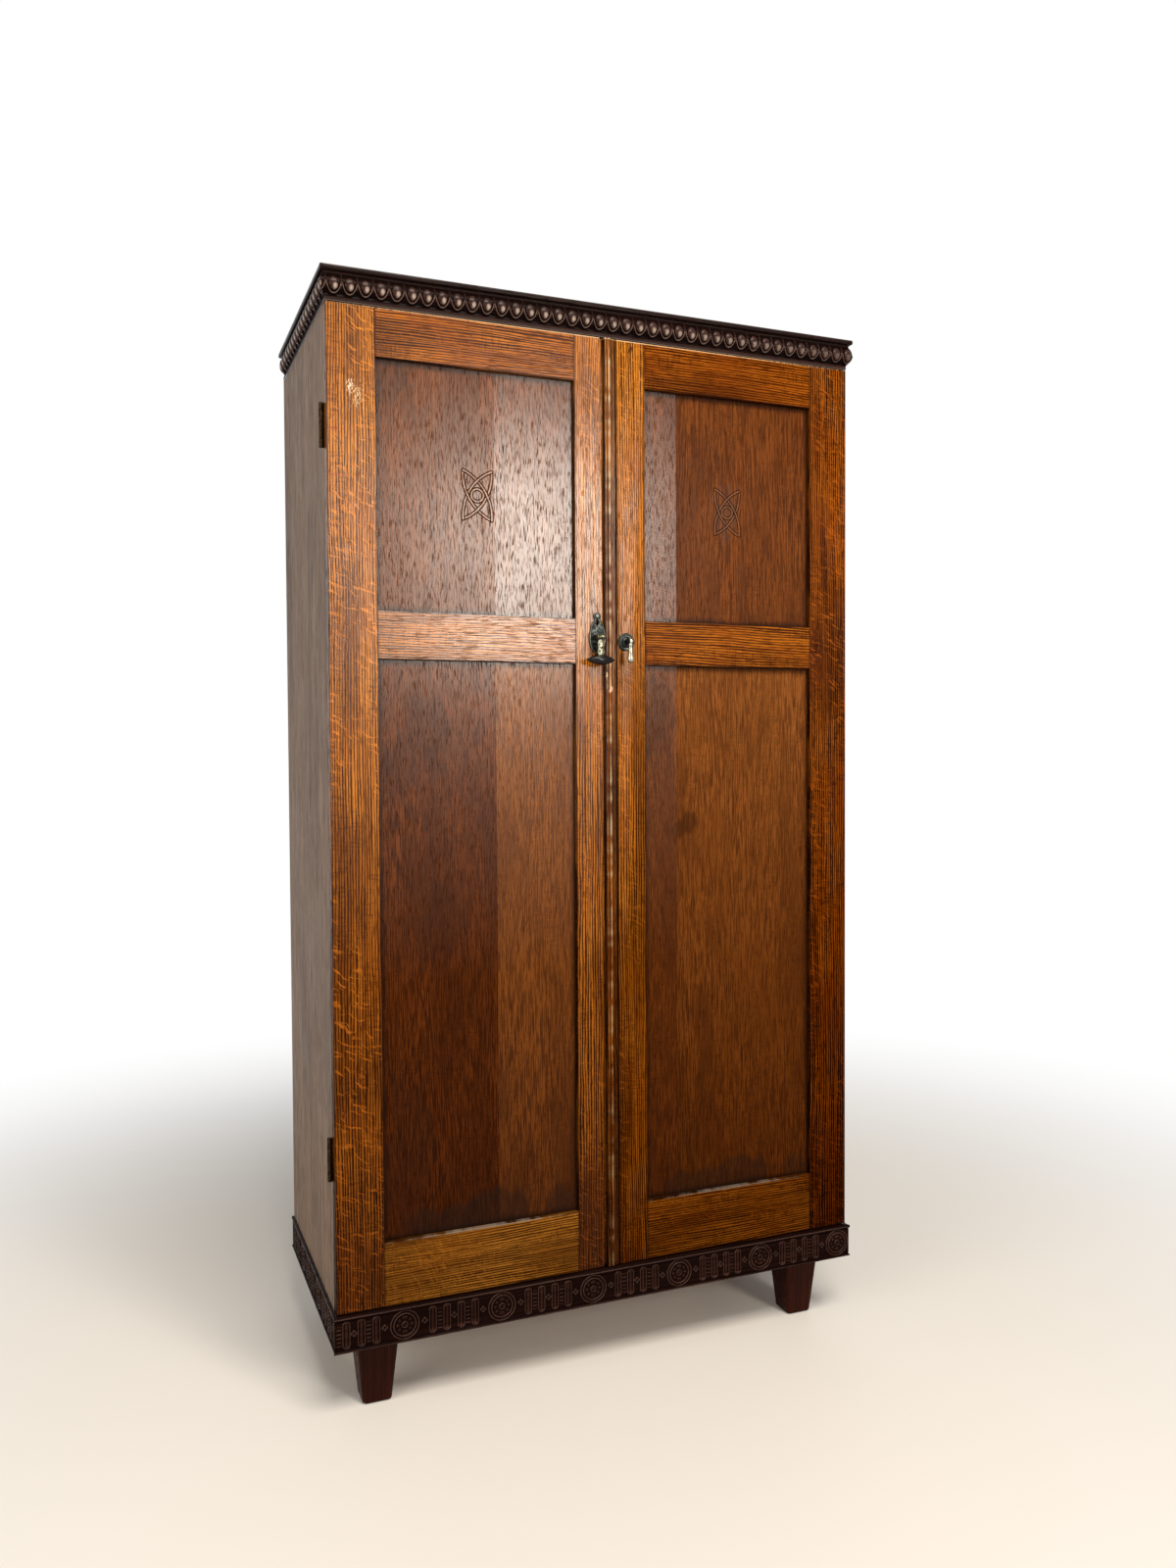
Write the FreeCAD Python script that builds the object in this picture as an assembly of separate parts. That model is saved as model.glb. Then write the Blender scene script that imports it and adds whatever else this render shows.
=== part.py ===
import FreeCAD, Part
import math
import os
from FreeCAD import Vector

# A two-door oak wardrobe: a case of boards on a carved plinth with tapered feet, a carved
# egg-and-dart cornice, and two framed and panelled doors with drop pulls, hinges, lock and bolts.
# X runs across the front to the right, Y from the front to the back, Z up from the floor.
# All lengths are millimetres.

os.makedirs("parts", exist_ok=True)

LEFT = -1
RIGHT = 1
RADIAL_FIT = 0.05
SIDE_FIT = 0.3
OVERRUN = 2.0

# Overall size
total_height = 1830.0
case_width = 957.0
face_to_back = 450.0
foot_height = 117.0
plinth_height = 59.0
cornice_height = 44.0
cap_thickness = 9.0

# Case boards
side_thickness = 18.0
base_thickness = 18.0
roof_thickness = 18.0
housing_depth = 6.0
back_thickness = 5.0
back_lap = 10.0
batten_thickness = 12.0
batten_width = 60.0

# Hat shelf and hanging rail
hat_space_height = 215.0
shelf_thickness = 16.0
shelf_setback = 20.0
shelf_end_gap = 0.4
bearer_thickness = 20.0
bearer_height = 32.0
bearer_setback = 12.0
rail_radius = 12.5
rail_drop = 72.0
rail_end_gap = 1.0
socket_size = 44.0
socket_thickness = 14.0

# Cornice section
cornice_projection = 9.0
cornice_thickness = 30.0
cornice_fillet = 7.0
cornice_foot_step = 0.8
cornice_neck = 3.5
cornice_neck_height = 3.5
cornice_back_thickness = 20.0
cap_edge_radius = 3.0

# Plinth section
plinth_front_projection = 6.7
plinth_side_projection = 5.0
plinth_thickness = 28.0
plinth_bead = 6.0
plinth_field_sink = 2.0
plinth_back_thickness = 20.0
block_margin = 5.0

# Feet
foot_floor_size = 49.0
foot_top_size = 71.0
foot_side_inset = 38.0
foot_front_inset = 32.0
foot_arris_chamfer = 4.0
foot_sole_chamfer = 3.0
foot_tenon_size = 26.0
foot_tenon_length = 38.0

# Doors
door_thickness = 20.0
door_back_gap = 1.0
door_top_gap = 1.6
door_bottom_gap = 2.4
door_meeting_gap = 2.0
meeting_edge = 11.8
hinge_stile_width = 77.5
left_meeting_stile_width = 74.6
right_meeting_stile_width = 53.3
top_rail_height = 77.0
middle_rail_height = 75.5
bottom_rail_height = 104.0
upper_opening_height = 400.0
panel_recess = 9.0
panel_thickness = 6.0
groove_depth = 9.0
panel_play = 1.5
arris_ease = 0.8
tenon_length = 45.0
stub_tenon_length = 11.0
tenon_shoulder = 12.0

# Reeded moulding on the meeting edge
moulding_width = 21.3
moulding_seat = 6.0
quirk_width = 7.4
reed_width = 6.2
reed_rise = 3.5
moulding_fillet_rise = 0.6

# Hinges
hinge_length = 70.0
upper_hinge_drop = 189.0
lower_hinge_rise = 247.0
leaf_width = 15.0
leaf_thickness = 1.6
knuckle_radius = 4.0
end_knuckle_share = 0.2
knuckle_gap = 0.3
knuckle_clearance = 0.4
hinge_pin_radius = 1.6

# Lock
lock_height = 1293.0
lock_backset = 35.0
lock_case_width = 52.0
lock_case_height = 66.0
lock_case_thickness = 12.0
lock_bolt_width = 16.0
lock_bolt_thickness = 6.0
lock_bolt_length = 34.0
lock_bolt_throw = 8.0
keyhole_radius = 3.2
keyhole_slot_width = 2.8
keyhole_slot_length = 9.0
keyhole_depth = 3.0
strike_height = 44.0
strike_width = 13.0
strike_thickness = 1.5
strike_mortise_spare = 3.0

# Sliding bolts on the right door
bolt_offset = 28.0
bolt_rod_radius = 3.5
bolt_rod_length = 74.0
bolt_lift = 3.0
bolt_throw = 12.0
bolt_end_gap = 3.0
bolt_plate_width = 24.0
bolt_plate_length = 78.0
bolt_plate_thickness = 2.0
bolt_plate_end_gap = 8.0
bolt_staple_width = 16.0
bolt_staple_length = 9.0
bolt_staple_wall = 2.5
bolt_staple_spacing = 42.0
bolt_knob_radius = 3.0
bolt_knob_length = 12.0
keeper_width = 22.0
keeper_length = 22.0
keeper_thickness = 1.5
keeper_clearance = 0.4
keeper_hole_depth = 13.0

# Leaf-shaped pull on the left door
pull_plate_centre = -24.0
pull_plate_below_lock = 55.5
pull_plate_length = 72.0
pull_plate_half_width = 13.2
pull_plate_thickness = 2.0
pull_lug_below_lock = 26.0
pull_standoff = 17.0
pull_ear_radius = 4.2
pull_ear_thickness = 2.6
pull_ear_gap = 9.0
pull_lug_foot = 3.0
pull_pin_radius = 1.2
pull_shank_radius = 3.0
pull_shank_length = 6.0
stem_length = 32.0
stem_thickness = 5.0
stem_hole_radius = 1.4
stem_hole_drop = 11.0
stem_seat = 1.5
grip_length = 52.0
grip_radius = 8.4
grip_tip_radius = 1.0

# Pear drop pull on the right door
rose_centre = 30.0
rose_below_lock = 32.0
rose_radius = 15.5
rose_rim = 2.0
rose_rise = 4.5
rose_boss_radius = 6.5
spindle_radius = 3.8
spindle_post_radius = 4.8
spindle_hole_clearance = 0.2
drop_standoff = 20.0
drop_ear_radius = 4.4
drop_ear_thickness = 2.2
drop_ear_gap = 4.6
drop_neck_radius = 1.9
drop_length = 37.0
drop_end_radius = 4.6
ring_sides = 12
nut_radius = 8.0
nut_thickness = 5.0

# Places worked out from the sizes
half_width = case_width / 2
pull_reach = max(pull_standoff + grip_radius, drop_standoff + drop_ear_radius)
door_face = (pull_reach - face_to_back) / 2
door_back = door_face + door_thickness
case_front = door_back + door_back_gap
case_back = door_face + face_to_back
back_face = case_back - batten_thickness - back_thickness
inner_half = half_width - side_thickness
side_bottom = foot_height + plinth_height
side_top = total_height - cap_thickness - cornice_height
base_top = side_bottom + base_thickness
roof_bottom = side_top - roof_thickness
shelf_top = roof_bottom - hat_space_height
shelf_bottom = shelf_top - shelf_thickness
shelf_front = case_front + shelf_setback
rail_height = shelf_bottom - rail_drop
rail_y = (case_front + back_face) / 2
door_bottom = side_bottom + door_bottom_gap
door_top = side_top - door_top_gap
right_meeting_edge = meeting_edge + door_meeting_gap
lower_opening_bottom = door_bottom + bottom_rail_height
upper_opening_top = door_top - top_rail_height
upper_opening_bottom = upper_opening_top - upper_opening_height
lower_opening_top = upper_opening_bottom - middle_rail_height
panel_front = door_face + panel_recess
panel_back = panel_front + panel_thickness
hinge_offset = knuckle_radius + knuckle_clearance
hinge_y = door_back + door_back_gap / 2
hinge_centres = [side_bottom + lower_hinge_rise, side_top - upper_hinge_drop]
hinge_bottoms = [centre - hinge_length / 2 for centre in hinge_centres]
pull_plate_bottom = lock_height - pull_plate_below_lock
pull_lug_height = lock_height - pull_lug_below_lock
rose_height = lock_height - rose_below_lock
bolt_x = right_meeting_edge + bolt_offset
bolt_y = door_back + bolt_plate_thickness + bolt_lift + bolt_rod_radius


def box(x0, x1, y0, y1, z0, z1):
    """A block between two corners, whichever way round each pair is given."""
    corner = Vector(min(x0, x1), min(y0, y1), min(z0, z1))
    return Part.makeBox(abs(x1 - x0), abs(y1 - y0), abs(z1 - z0), corner)


def rod(start, way, radius, length):
    """A round bar from start along way."""
    return Part.makeCylinder(radius, length, start, way)


def polygon_face(points):
    """A flat face inside a closed outline of straight lines."""
    return Part.Face(Part.makePolygon(points + points[:1]))


def flat_sided(outlines):
    """A solid whose flat sides join outlines that follow one another, corner to corner."""
    faces = [polygon_face(outlines[0]), polygon_face(outlines[-1])]
    for lower, upper in zip(outlines, outlines[1:]):
        for index in range(len(lower)):
            before = index - 1
            faces.append(polygon_face([lower[before], lower[index], upper[index], upper[before]]))
    shell = Part.Shell(faces)
    shell.sewShape()
    return Part.Solid(shell)


def line(a, b):
    """A straight edge."""
    return Part.LineSegment(a, b).toShape()


def arc(a, b, c):
    """A round edge from a through b to c."""
    return Part.Arc(a, b, c).toShape()


def clean(shape):
    """The one solid of a shape, without leftover seams."""
    return shape.removeSplitter().Solids[0]


def save(name, *solids):
    """Write one sub-part, which is a single solid or a group of separate ones."""
    shape = solids[0] if len(solids) == 1 else Part.makeCompound(list(solids))
    shape.exportStep("parts/" + name + ".step")


# Case

def side_board(side):
    """A side with housings for the base and roof and a rebate for the back panel."""
    outer = side * half_width
    inner = side * inner_half
    housing = side * (inner_half + housing_depth)
    rebate = side * (inner_half + back_lap)
    board = box(inner, outer, case_front, case_back, side_bottom, side_top)
    base_cut = box(inner, housing, case_front, back_face, side_bottom, base_top)
    roof_cut = box(inner, housing, case_front, back_face, roof_bottom, side_top)
    back_cut = box(inner, rebate, back_face, case_back, side_bottom, side_top)
    for bottom in hinge_bottoms:
        board = board.cut(case_leaf_seat(side, bottom))
    return clean(board.cut(base_cut).cut(roof_cut).cut(back_cut))


def keeper_cut(plate_z, way):
    """The seat and the hole for a sliding bolt's keeper in the base or the roof board."""
    half_x = keeper_width / 2
    half_y = keeper_length / 2
    front = max(bolt_y - half_y, case_front)
    seat_end = plate_z + way * keeper_thickness
    seat = box(bolt_x - half_x, bolt_x + half_x, front, bolt_y + half_y, plate_z, seat_end)
    hole_radius = bolt_rod_radius + keeper_clearance
    hole = rod(Vector(bolt_x, bolt_y, plate_z), Vector(0, 0, way), hole_radius, keeper_hole_depth)
    return seat, hole


def flat_board(bottom, top, plate_z, way):
    """The base or the roof board, housed in the sides, with its bolt hole."""
    half = inner_half + housing_depth
    seat, hole = keeper_cut(plate_z, way)
    return clean(box(-half, half, case_front, back_face, bottom, top).cut(seat).cut(hole))


def keeper(plate_z, way):
    """A brass plate that lies flush round a bolt hole."""
    seat, hole = keeper_cut(plate_z, way)
    return clean(seat.cut(hole))


def build_case():
    save("left_side", side_board(LEFT))
    save("right_side", side_board(RIGHT))
    save("base_board", flat_board(side_bottom, base_top, base_top, -1))
    save("roof_board", flat_board(roof_bottom, side_top, roof_bottom, 1))
    save("bolt_keepers", keeper(base_top, -1), keeper(roof_bottom, 1))
    reach = inner_half + back_lap
    back_y = back_face + back_thickness
    save("back_panel_left", box(-reach, 0, back_face, back_y, side_bottom, side_top))
    save("back_panel_right", box(0, reach, back_face, back_y, side_bottom, side_top))
    half = batten_width / 2
    save("back_batten", box(-half, half, back_y, case_back, side_bottom, side_top))


def build_interior():
    half = inner_half - shelf_end_gap
    half_socket = socket_size / 2
    save("hat_shelf", box(-half, half, shelf_front, back_face, shelf_bottom, shelf_top))
    bearers = []
    sockets = []
    for side in (LEFT, RIGHT):
        wall = side * inner_half
        bearer_inner = wall - side * bearer_thickness
        bearer_front = shelf_front + bearer_setback
        bearer_bottom = shelf_bottom - bearer_height
        bearers.append(box(wall, bearer_inner, bearer_front, back_face, bearer_bottom, shelf_bottom))
        socket_inner = wall - side * socket_thickness
        low = rail_height - half_socket
        high = rail_height + half_socket
        block = box(wall, socket_inner, rail_y - half_socket, rail_y + half_socket, low, high)
        seat = Vector(wall, rail_y, rail_height)
        bore = rod(seat, Vector(-side, 0, 0), rail_radius + RADIAL_FIT, socket_thickness)
        sockets.append(clean(block.cut(bore)))
    save("shelf_bearers", *bearers)
    save("rail_sockets", *sockets)
    rail_half = inner_half - rail_end_gap
    rail_start = Vector(-rail_half, rail_y, rail_height)
    save("hanging_rail", rod(rail_start, Vector(1, 0, 0), rail_radius, 2 * rail_half))


# Cornice and plinth: sections are drawn in an outward and an upward distance,
# and each run maps them to its own side of the case

def front_mapper(bottom):
    """Outward is towards the viewer, from the plane of the door faces."""
    return lambda out, up: Vector(0, door_face - out, bottom + up)


def side_mapper(side, bottom):
    """Outward is away from the case, from the face of a side board."""
    return lambda out, up: Vector(side * (half_width + out), 0, bottom + up)


def cornice_section(at):
    """Fillet, ovolo and neck of the cornice moulding."""
    back = cornice_projection - cornice_thickness
    ovolo_top = cornice_height - cornice_neck_height
    bulge = cornice_fillet + (ovolo_top - cornice_fillet) / 2
    ovolo_foot = at(cornice_foot_step, cornice_fillet)
    edges = [
        line(at(back, 0), at(0, 0)),
        line(at(0, 0), at(0, cornice_fillet)),
        line(at(0, cornice_fillet), ovolo_foot),
        arc(ovolo_foot, at(cornice_projection, bulge), at(cornice_neck, ovolo_top)),
        line(at(cornice_neck, ovolo_top), at(cornice_neck, cornice_height)),
        line(at(cornice_neck, cornice_height), at(back, cornice_height)),
        line(at(back, cornice_height), at(back, 0)),
    ]
    return Part.Face(Part.Wire(edges))


def plinth_section(at, projection):
    """Sunk field of the plinth rail between a bead above and a bead below."""
    back = projection - plinth_thickness
    field = projection - plinth_field_sink
    upper = plinth_height - plinth_bead
    half_bead = plinth_bead / 2
    edges = [
        line(at(back, 0), at(field, 0)),
        arc(at(field, 0), at(projection, half_bead), at(field, plinth_bead)),
        line(at(field, plinth_bead), at(field, upper)),
        arc(at(field, upper), at(projection, upper + half_bead), at(field, plinth_height)),
        line(at(field, plinth_height), at(back, plinth_height)),
        line(at(back, plinth_height), at(back, 0)),
    ]
    return Part.Face(Part.Wire(edges))


def mitre_wedge(side, corner_x, corner_y, reach, bottom, height, keep_front):
    """What is cut off a run at its front corner: the far side of the mitre plane."""
    inner = Vector(corner_x - side * reach, corner_y + reach, bottom - OVERRUN)
    outer = Vector(corner_x + side * OVERRUN, corner_y - OVERRUN, bottom - OVERRUN)
    third = Vector(outer.x, inner.y, inner.z) if keep_front else Vector(inner.x, outer.y, inner.z)
    return polygon_face([outer, inner, third]).extrude(Vector(0, 0, height + 2 * OVERRUN))


def front_run(section, projection, side_projection, thickness, bottom, height):
    """A front moulding, mitred at both ends."""
    half = half_width + side_projection
    run = section.copy()
    run.translate(Vector(-half, 0, 0))
    run = run.extrude(Vector(2 * half, 0, 0))
    for side in (LEFT, RIGHT):
        corner_y = door_face - projection
        reach = thickness + OVERRUN
        run = run.cut(mitre_wedge(side, side * half, corner_y, reach, bottom, height, True))
    return clean(run)


def side_run(section, side, projection, side_projection, thickness, bottom, height):
    """A side moulding, mitred at the front and cut square at the back of the case."""
    corner_y = door_face - projection
    run = section.copy()
    run.translate(Vector(0, corner_y, 0))
    run = run.extrude(Vector(0, case_back - corner_y, 0))
    corner_x = side * (half_width + side_projection)
    reach = thickness + OVERRUN
    return clean(run.cut(mitre_wedge(side, corner_x, corner_y, reach, bottom, height, False)))


def build_cornice():
    p = cornice_projection
    t = cornice_thickness
    front = cornice_section(front_mapper(side_top))
    save("cornice_front", front_run(front, p, p, t, side_top, cornice_height))
    for name, side in (("cornice_left", LEFT), ("cornice_right", RIGHT)):
        section = cornice_section(side_mapper(side, side_top))
        save(name, side_run(section, side, p, p, t, side_top, cornice_height))
    half = half_width + p - t
    rail_front = case_back - cornice_back_thickness
    cap_bottom = side_top + cornice_height
    save("cornice_back", box(-half, half, rail_front, case_back, side_top, cap_bottom))
    cap = box(-half_width - p, half_width + p, door_face - p, case_back, cap_bottom, total_height)
    edges = [e for e in cap.Edges if is_cap_arris(e.BoundBox)]
    save("cap_board", clean(cap.makeFillet(cap_edge_radius, edges)))


def is_cap_arris(bounds):
    """Whether an edge lies level along the front or a side of the cap."""
    return bounds.ZLength < cap_edge_radius and bounds.YMin < case_back - OVERRUN


def build_plinth():
    front_p = plinth_front_projection
    side_p = plinth_side_projection
    t = plinth_thickness
    front = plinth_section(front_mapper(foot_height), front_p)
    save("plinth_front", front_run(front, front_p, side_p, t, foot_height, plinth_height))
    for name, side in (("plinth_left", LEFT), ("plinth_right", RIGHT)):
        section = plinth_section(side_mapper(side, foot_height), side_p)
        save(name, side_run(section, side, front_p, side_p, t, foot_height, plinth_height))
    half = half_width + side_p - t
    rail_front = case_back - plinth_back_thickness
    save("plinth_back", box(-half, half, rail_front, case_back, foot_height, side_bottom))


# Feet and the blocks that they are tenoned into

def foot_outline(x, y, size, z):
    """The corners of a square with its arrises taken off, about a centre."""
    half = size / 2
    flat = half - foot_arris_chamfer
    corners = [(-flat, -half), (flat, -half), (half, -flat), (half, flat), (flat, half), (-flat, half)]
    corners += [(-half, flat), (-half, -flat)]
    return [Vector(x + u, y + v, z) for u, v in corners]


def foot_tenon(side, centre_y):
    """The square tenon on top of a foot."""
    x = foot_centre_x(side)
    half = foot_tenon_size / 2
    top = foot_height + foot_tenon_length
    return box(x - half, x + half, centre_y - half, centre_y + half, foot_height, top)


def foot(side, centre_y):
    """A tapered foot with its arrises and its sole taken off, and a tenon on top."""
    x = foot_centre_x(side)
    sole = foot_outline(x, centre_y, foot_floor_size - 2 * foot_sole_chamfer, 0)
    toe = foot_outline(x, centre_y, foot_floor_size, foot_sole_chamfer)
    top = foot_outline(x, centre_y, foot_top_size, foot_height)
    return clean(flat_sided([sole, toe, top]).fuse(foot_tenon(side, centre_y)))


def foot_centre_x(side):
    return side * (half_width - foot_side_inset - foot_top_size / 2)


def build_feet():
    front_y = door_face + foot_front_inset + foot_top_size / 2
    back_y = case_back - foot_front_inset - foot_top_size / 2
    blocks = []
    outer = half_width + plinth_side_projection - plinth_thickness
    inner = half_width - foot_side_inset - foot_top_size - block_margin
    for y in (front_y, back_y):
        if y == front_y:
            near = door_face - plinth_front_projection + plinth_thickness
            far = y + foot_top_size / 2 + block_margin
        else:
            near = y - foot_top_size / 2 - block_margin
            far = case_back - plinth_back_thickness
        for side in (LEFT, RIGHT):
            block = box(side * inner, side * outer, near, far, foot_height, side_bottom)
            blocks.append(clean(block.cut(foot_tenon(side, y))))
    save("front_feet", foot(LEFT, front_y), foot(RIGHT, front_y))
    save("back_feet", foot(LEFT, back_y), foot(RIGHT, back_y))
    save("foot_blocks", *blocks)


# Hinges

def leaf_seat(side, bottom, front):
    """The flat of a leaf, let into the front edge of a side board or the back of a stile."""
    edge = side * half_width
    inner = edge - side * leaf_width
    return box(edge, inner, front, front + leaf_thickness, bottom, bottom + hinge_length)


def case_leaf_seat(side, bottom):
    return leaf_seat(side, bottom, case_front)


def door_leaf_seat(side, bottom):
    return leaf_seat(side, bottom, door_back - leaf_thickness)


def case_knuckles(bottom):
    """Heights of the two short knuckles at the ends of a hinge."""
    end = hinge_length * end_knuckle_share - knuckle_gap / 2
    top = bottom + hinge_length
    return [(bottom, bottom + end), (top - end, top)]


def door_knuckles(bottom):
    """Heights of the one long knuckle between them."""
    start = hinge_length * end_knuckle_share + knuckle_gap / 2
    return [(bottom + start, bottom + hinge_length - start)]


def hinge_leaf(side, seat, spans):
    """A leaf with its knuckles."""
    edge = side * half_width
    axis_x = edge + side * hinge_offset
    seat_box = seat.BoundBox
    leaf = seat
    for low, high in spans:
        tongue = box(edge, axis_x - side * knuckle_radius / 2, seat_box.YMin, seat_box.YMax, low, high)
        barrel = rod(Vector(axis_x, hinge_y, low), Vector(0, 0, 1), knuckle_radius, high - low)
        leaf = leaf.fuse(tongue).fuse(barrel)
    return leaf


def hinge_core(side, bottom, radius):
    """A round bar along a hinge's axis: the pin, or the bore that turns on it."""
    axis_x = side * (half_width + hinge_offset)
    return rod(Vector(axis_x, hinge_y, bottom), Vector(0, 0, 1), radius, hinge_length)


def case_leaf(side, bottom):
    """The case's leaf, with the pin riveted into its two knuckles."""
    leaf = hinge_leaf(side, case_leaf_seat(side, bottom), case_knuckles(bottom))
    return clean(leaf.fuse(hinge_core(side, bottom, hinge_pin_radius)))


def door_leaf(side, bottom):
    """The door's leaf, whose one long knuckle turns on the pin."""
    leaf = hinge_leaf(side, door_leaf_seat(side, bottom), door_knuckles(bottom))
    return clean(leaf.cut(hinge_core(side, bottom, hinge_pin_radius + RADIAL_FIT)))


def build_hinges():
    save("left_door_hinge_leaves", *[door_leaf(LEFT, bottom) for bottom in hinge_bottoms])
    save("right_door_hinge_leaves", *[door_leaf(RIGHT, bottom) for bottom in hinge_bottoms])
    case_leaves = [case_leaf(side, bottom) for side in (LEFT, RIGHT) for bottom in hinge_bottoms]
    save("case_hinge_leaves", *case_leaves)


# Doors

def is_outer_arris(bounds):
    """Whether an edge runs up the outer front corner of a door."""
    on_front = bounds.YMax < door_face + OVERRUN
    return on_front and abs(bounds.Center.x) > half_width - OVERRUN and bounds.ZLength > hinge_length


def hinge_stile(side, inner_x):
    """An outer stile with an eased corner, mortises, the panel groove and the leaf seats."""
    board = box(side * half_width, inner_x, door_face, door_back, door_bottom, door_top)
    corner = [e for e in board.Edges if is_outer_arris(e.BoundBox)]
    board = board.makeChamfer(arris_ease, corner).cut(panel_groove(inner_x, side))
    for bottom in hinge_bottoms:
        board = board.cut(door_leaf_seat(side, bottom))
    return clean(cut_mortises(board, inner_x, side, tenon_length))


def panel_groove(inner_x, side):
    """The groove in a stile's inner edge, from rail to rail."""
    depth_x = inner_x + side * groove_depth
    low = box(inner_x, depth_x, panel_front, panel_back, lower_opening_bottom, lower_opening_top)
    high = box(inner_x, depth_x, panel_front, panel_back, upper_opening_bottom, upper_opening_top)
    return low.fuse(high)


def tenon_heights():
    """Bottom and top of the three rails' tenons, clear of their outer shoulders."""
    return {
        "bottom_rail": (door_bottom + tenon_shoulder, lower_opening_bottom),
        "middle_rail": (lower_opening_top, upper_opening_bottom),
        "top_rail": (upper_opening_top, door_top - tenon_shoulder),
    }


def cut_mortises(board, inner_x, side, length):
    """Mortises for the three rails' tenons."""
    for low, high in tenon_heights().values():
        board = board.cut(box(inner_x, inner_x + side * length, panel_front, panel_back, low, high))
    return board


def rail(name, left_x, right_x, left_tenon, right_tenon, bottom, top):
    """A rail with a tenon at each end and grooves where it meets a panel."""
    board = box(left_x, right_x, door_face, door_back, bottom, top)
    if bottom > door_bottom:
        board = board.cut(box(left_x, right_x, panel_front, panel_back, bottom, bottom + groove_depth))
    if top < door_top:
        board = board.cut(box(left_x, right_x, panel_front, panel_back, top - groove_depth, top))
    low, high = tenon_heights()[name]
    tongue_low = low + (groove_depth if bottom > door_bottom else 0)
    tongue_high = high - (groove_depth if top < door_top else 0)
    start = left_x - left_tenon
    end = right_x + right_tenon
    return clean(board.fuse(box(start, end, panel_front, panel_back, tongue_low, tongue_high)))


def panel(left_x, right_x, bottom, top):
    """A flat panel that reaches into the grooves, with play for the wood to move."""
    reach = groove_depth - panel_play
    return box(left_x - reach, right_x + reach, panel_front, panel_back, bottom - reach, top + reach)


def door_frame(prefix, left_x, right_x, left_tenon, right_tenon):
    """The rails and panels between the two stiles."""
    ends = (left_x, right_x, left_tenon, right_tenon)
    save(prefix + "_bottom_rail", rail("bottom_rail", *ends, door_bottom, lower_opening_bottom))
    save(prefix + "_middle_rail", rail("middle_rail", *ends, lower_opening_top, upper_opening_bottom))
    save(prefix + "_top_rail", rail("top_rail", *ends, upper_opening_top, door_top))
    save(prefix + "_lower_panel", panel(left_x, right_x, lower_opening_bottom, lower_opening_top))
    save(prefix + "_upper_panel", panel(left_x, right_x, upper_opening_bottom, upper_opening_top))


def left_meeting_stile(inner_x):
    """The inner stile of the left door, rebated for the moulding and cut for the lock."""
    board = box(inner_x, meeting_edge, door_face, door_back, door_bottom, door_top)
    rebate_x = meeting_edge - moulding_width - quirk_width
    rebate = box(rebate_x, meeting_edge, door_face, door_face + moulding_seat, door_bottom, door_top)
    board = board.cut(rebate).cut(panel_groove(inner_x, RIGHT))
    board = cut_mortises(board, inner_x, RIGHT, stub_tenon_length)
    board = board.cut(lock_case_block()).cut(keyhole(door_face, door_back - lock_case_thickness))
    shank_start = Vector(pull_plate_centre, door_face, pull_lug_height)
    return clean(board.cut(rod(shank_start, Vector(0, 1, 0), pull_shank_radius, pull_shank_length)))


def right_meeting_stile(inner_x):
    """The inner stile of the right door, cut for the strike plate and the pull's spindle."""
    board = box(right_meeting_edge, inner_x, door_face, door_back, door_bottom, door_top)
    board = board.cut(panel_groove(inner_x, LEFT))
    board = cut_mortises(board, inner_x, LEFT, stub_tenon_length)
    board = board.cut(strike_block())
    mortise_x = right_meeting_edge + lock_bolt_throw + strike_mortise_spare
    board = board.cut(bolt_slot(right_meeting_edge, mortise_x))
    hole = rod(spindle_point(0), Vector(0, 1, 0), spindle_radius + spindle_hole_clearance, door_thickness)
    return clean(board.cut(hole))


def meeting_moulding():
    """Two round reeds and a low fillet, planted in the left stile's rebate."""
    left = meeting_edge - moulding_width
    seat = door_face + moulding_seat
    low = door_face - moulding_fillet_rise
    high = door_face - reed_rise

    def at(x, y):
        return Vector(x, y, door_bottom)

    first_end = left + reed_width
    second_end = first_end + reed_width
    edges = [
        line(at(meeting_edge, seat), at(left, seat)),
        line(at(left, seat), at(left, low)),
        arc(at(left, low), at(left + reed_width / 2, high), at(first_end, low)),
        arc(at(first_end, low), at(first_end + reed_width / 2, high), at(second_end, low)),
        line(at(second_end, low), at(meeting_edge, low)),
        line(at(meeting_edge, low), at(meeting_edge, seat)),
    ]
    face = Part.Face(Part.Wire(edges))
    return clean(face.extrude(Vector(0, 0, door_top - door_bottom)))


def build_doors():
    left_inner = -half_width + hinge_stile_width
    left_meeting_inner = meeting_edge - left_meeting_stile_width
    right_meeting_inner = right_meeting_edge + right_meeting_stile_width
    right_inner = half_width - hinge_stile_width
    save("left_hinge_stile", hinge_stile(LEFT, left_inner))
    save("left_meeting_stile", left_meeting_stile(left_meeting_inner))
    door_frame("left", left_inner, left_meeting_inner, tenon_length, stub_tenon_length)
    save("meeting_moulding", meeting_moulding())
    save("right_hinge_stile", hinge_stile(RIGHT, right_inner))
    save("right_meeting_stile", right_meeting_stile(right_meeting_inner))
    door_frame("right", right_meeting_inner, right_inner, stub_tenon_length, tenon_length)


# Lock in the left door and its strike in the right door

def lock_case_block():
    """The space that the lock case fills in the back of the left meeting stile."""
    half_z = lock_case_height / 2
    inner_x = meeting_edge - lock_case_width
    front = door_back - lock_case_thickness
    return box(inner_x, meeting_edge, front, door_back, lock_height - half_z, lock_height + half_z)


def bolt_slot(x0, x1):
    """The slot round the lock's bolt, with clearance all round."""
    half_z = lock_bolt_width / 2 + SIDE_FIT
    half_y = lock_bolt_thickness / 2 + SIDE_FIT
    y = door_back - lock_case_thickness / 2
    return box(x0, x1, y - half_y, y + half_y, lock_height - half_z, lock_height + half_z)


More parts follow.
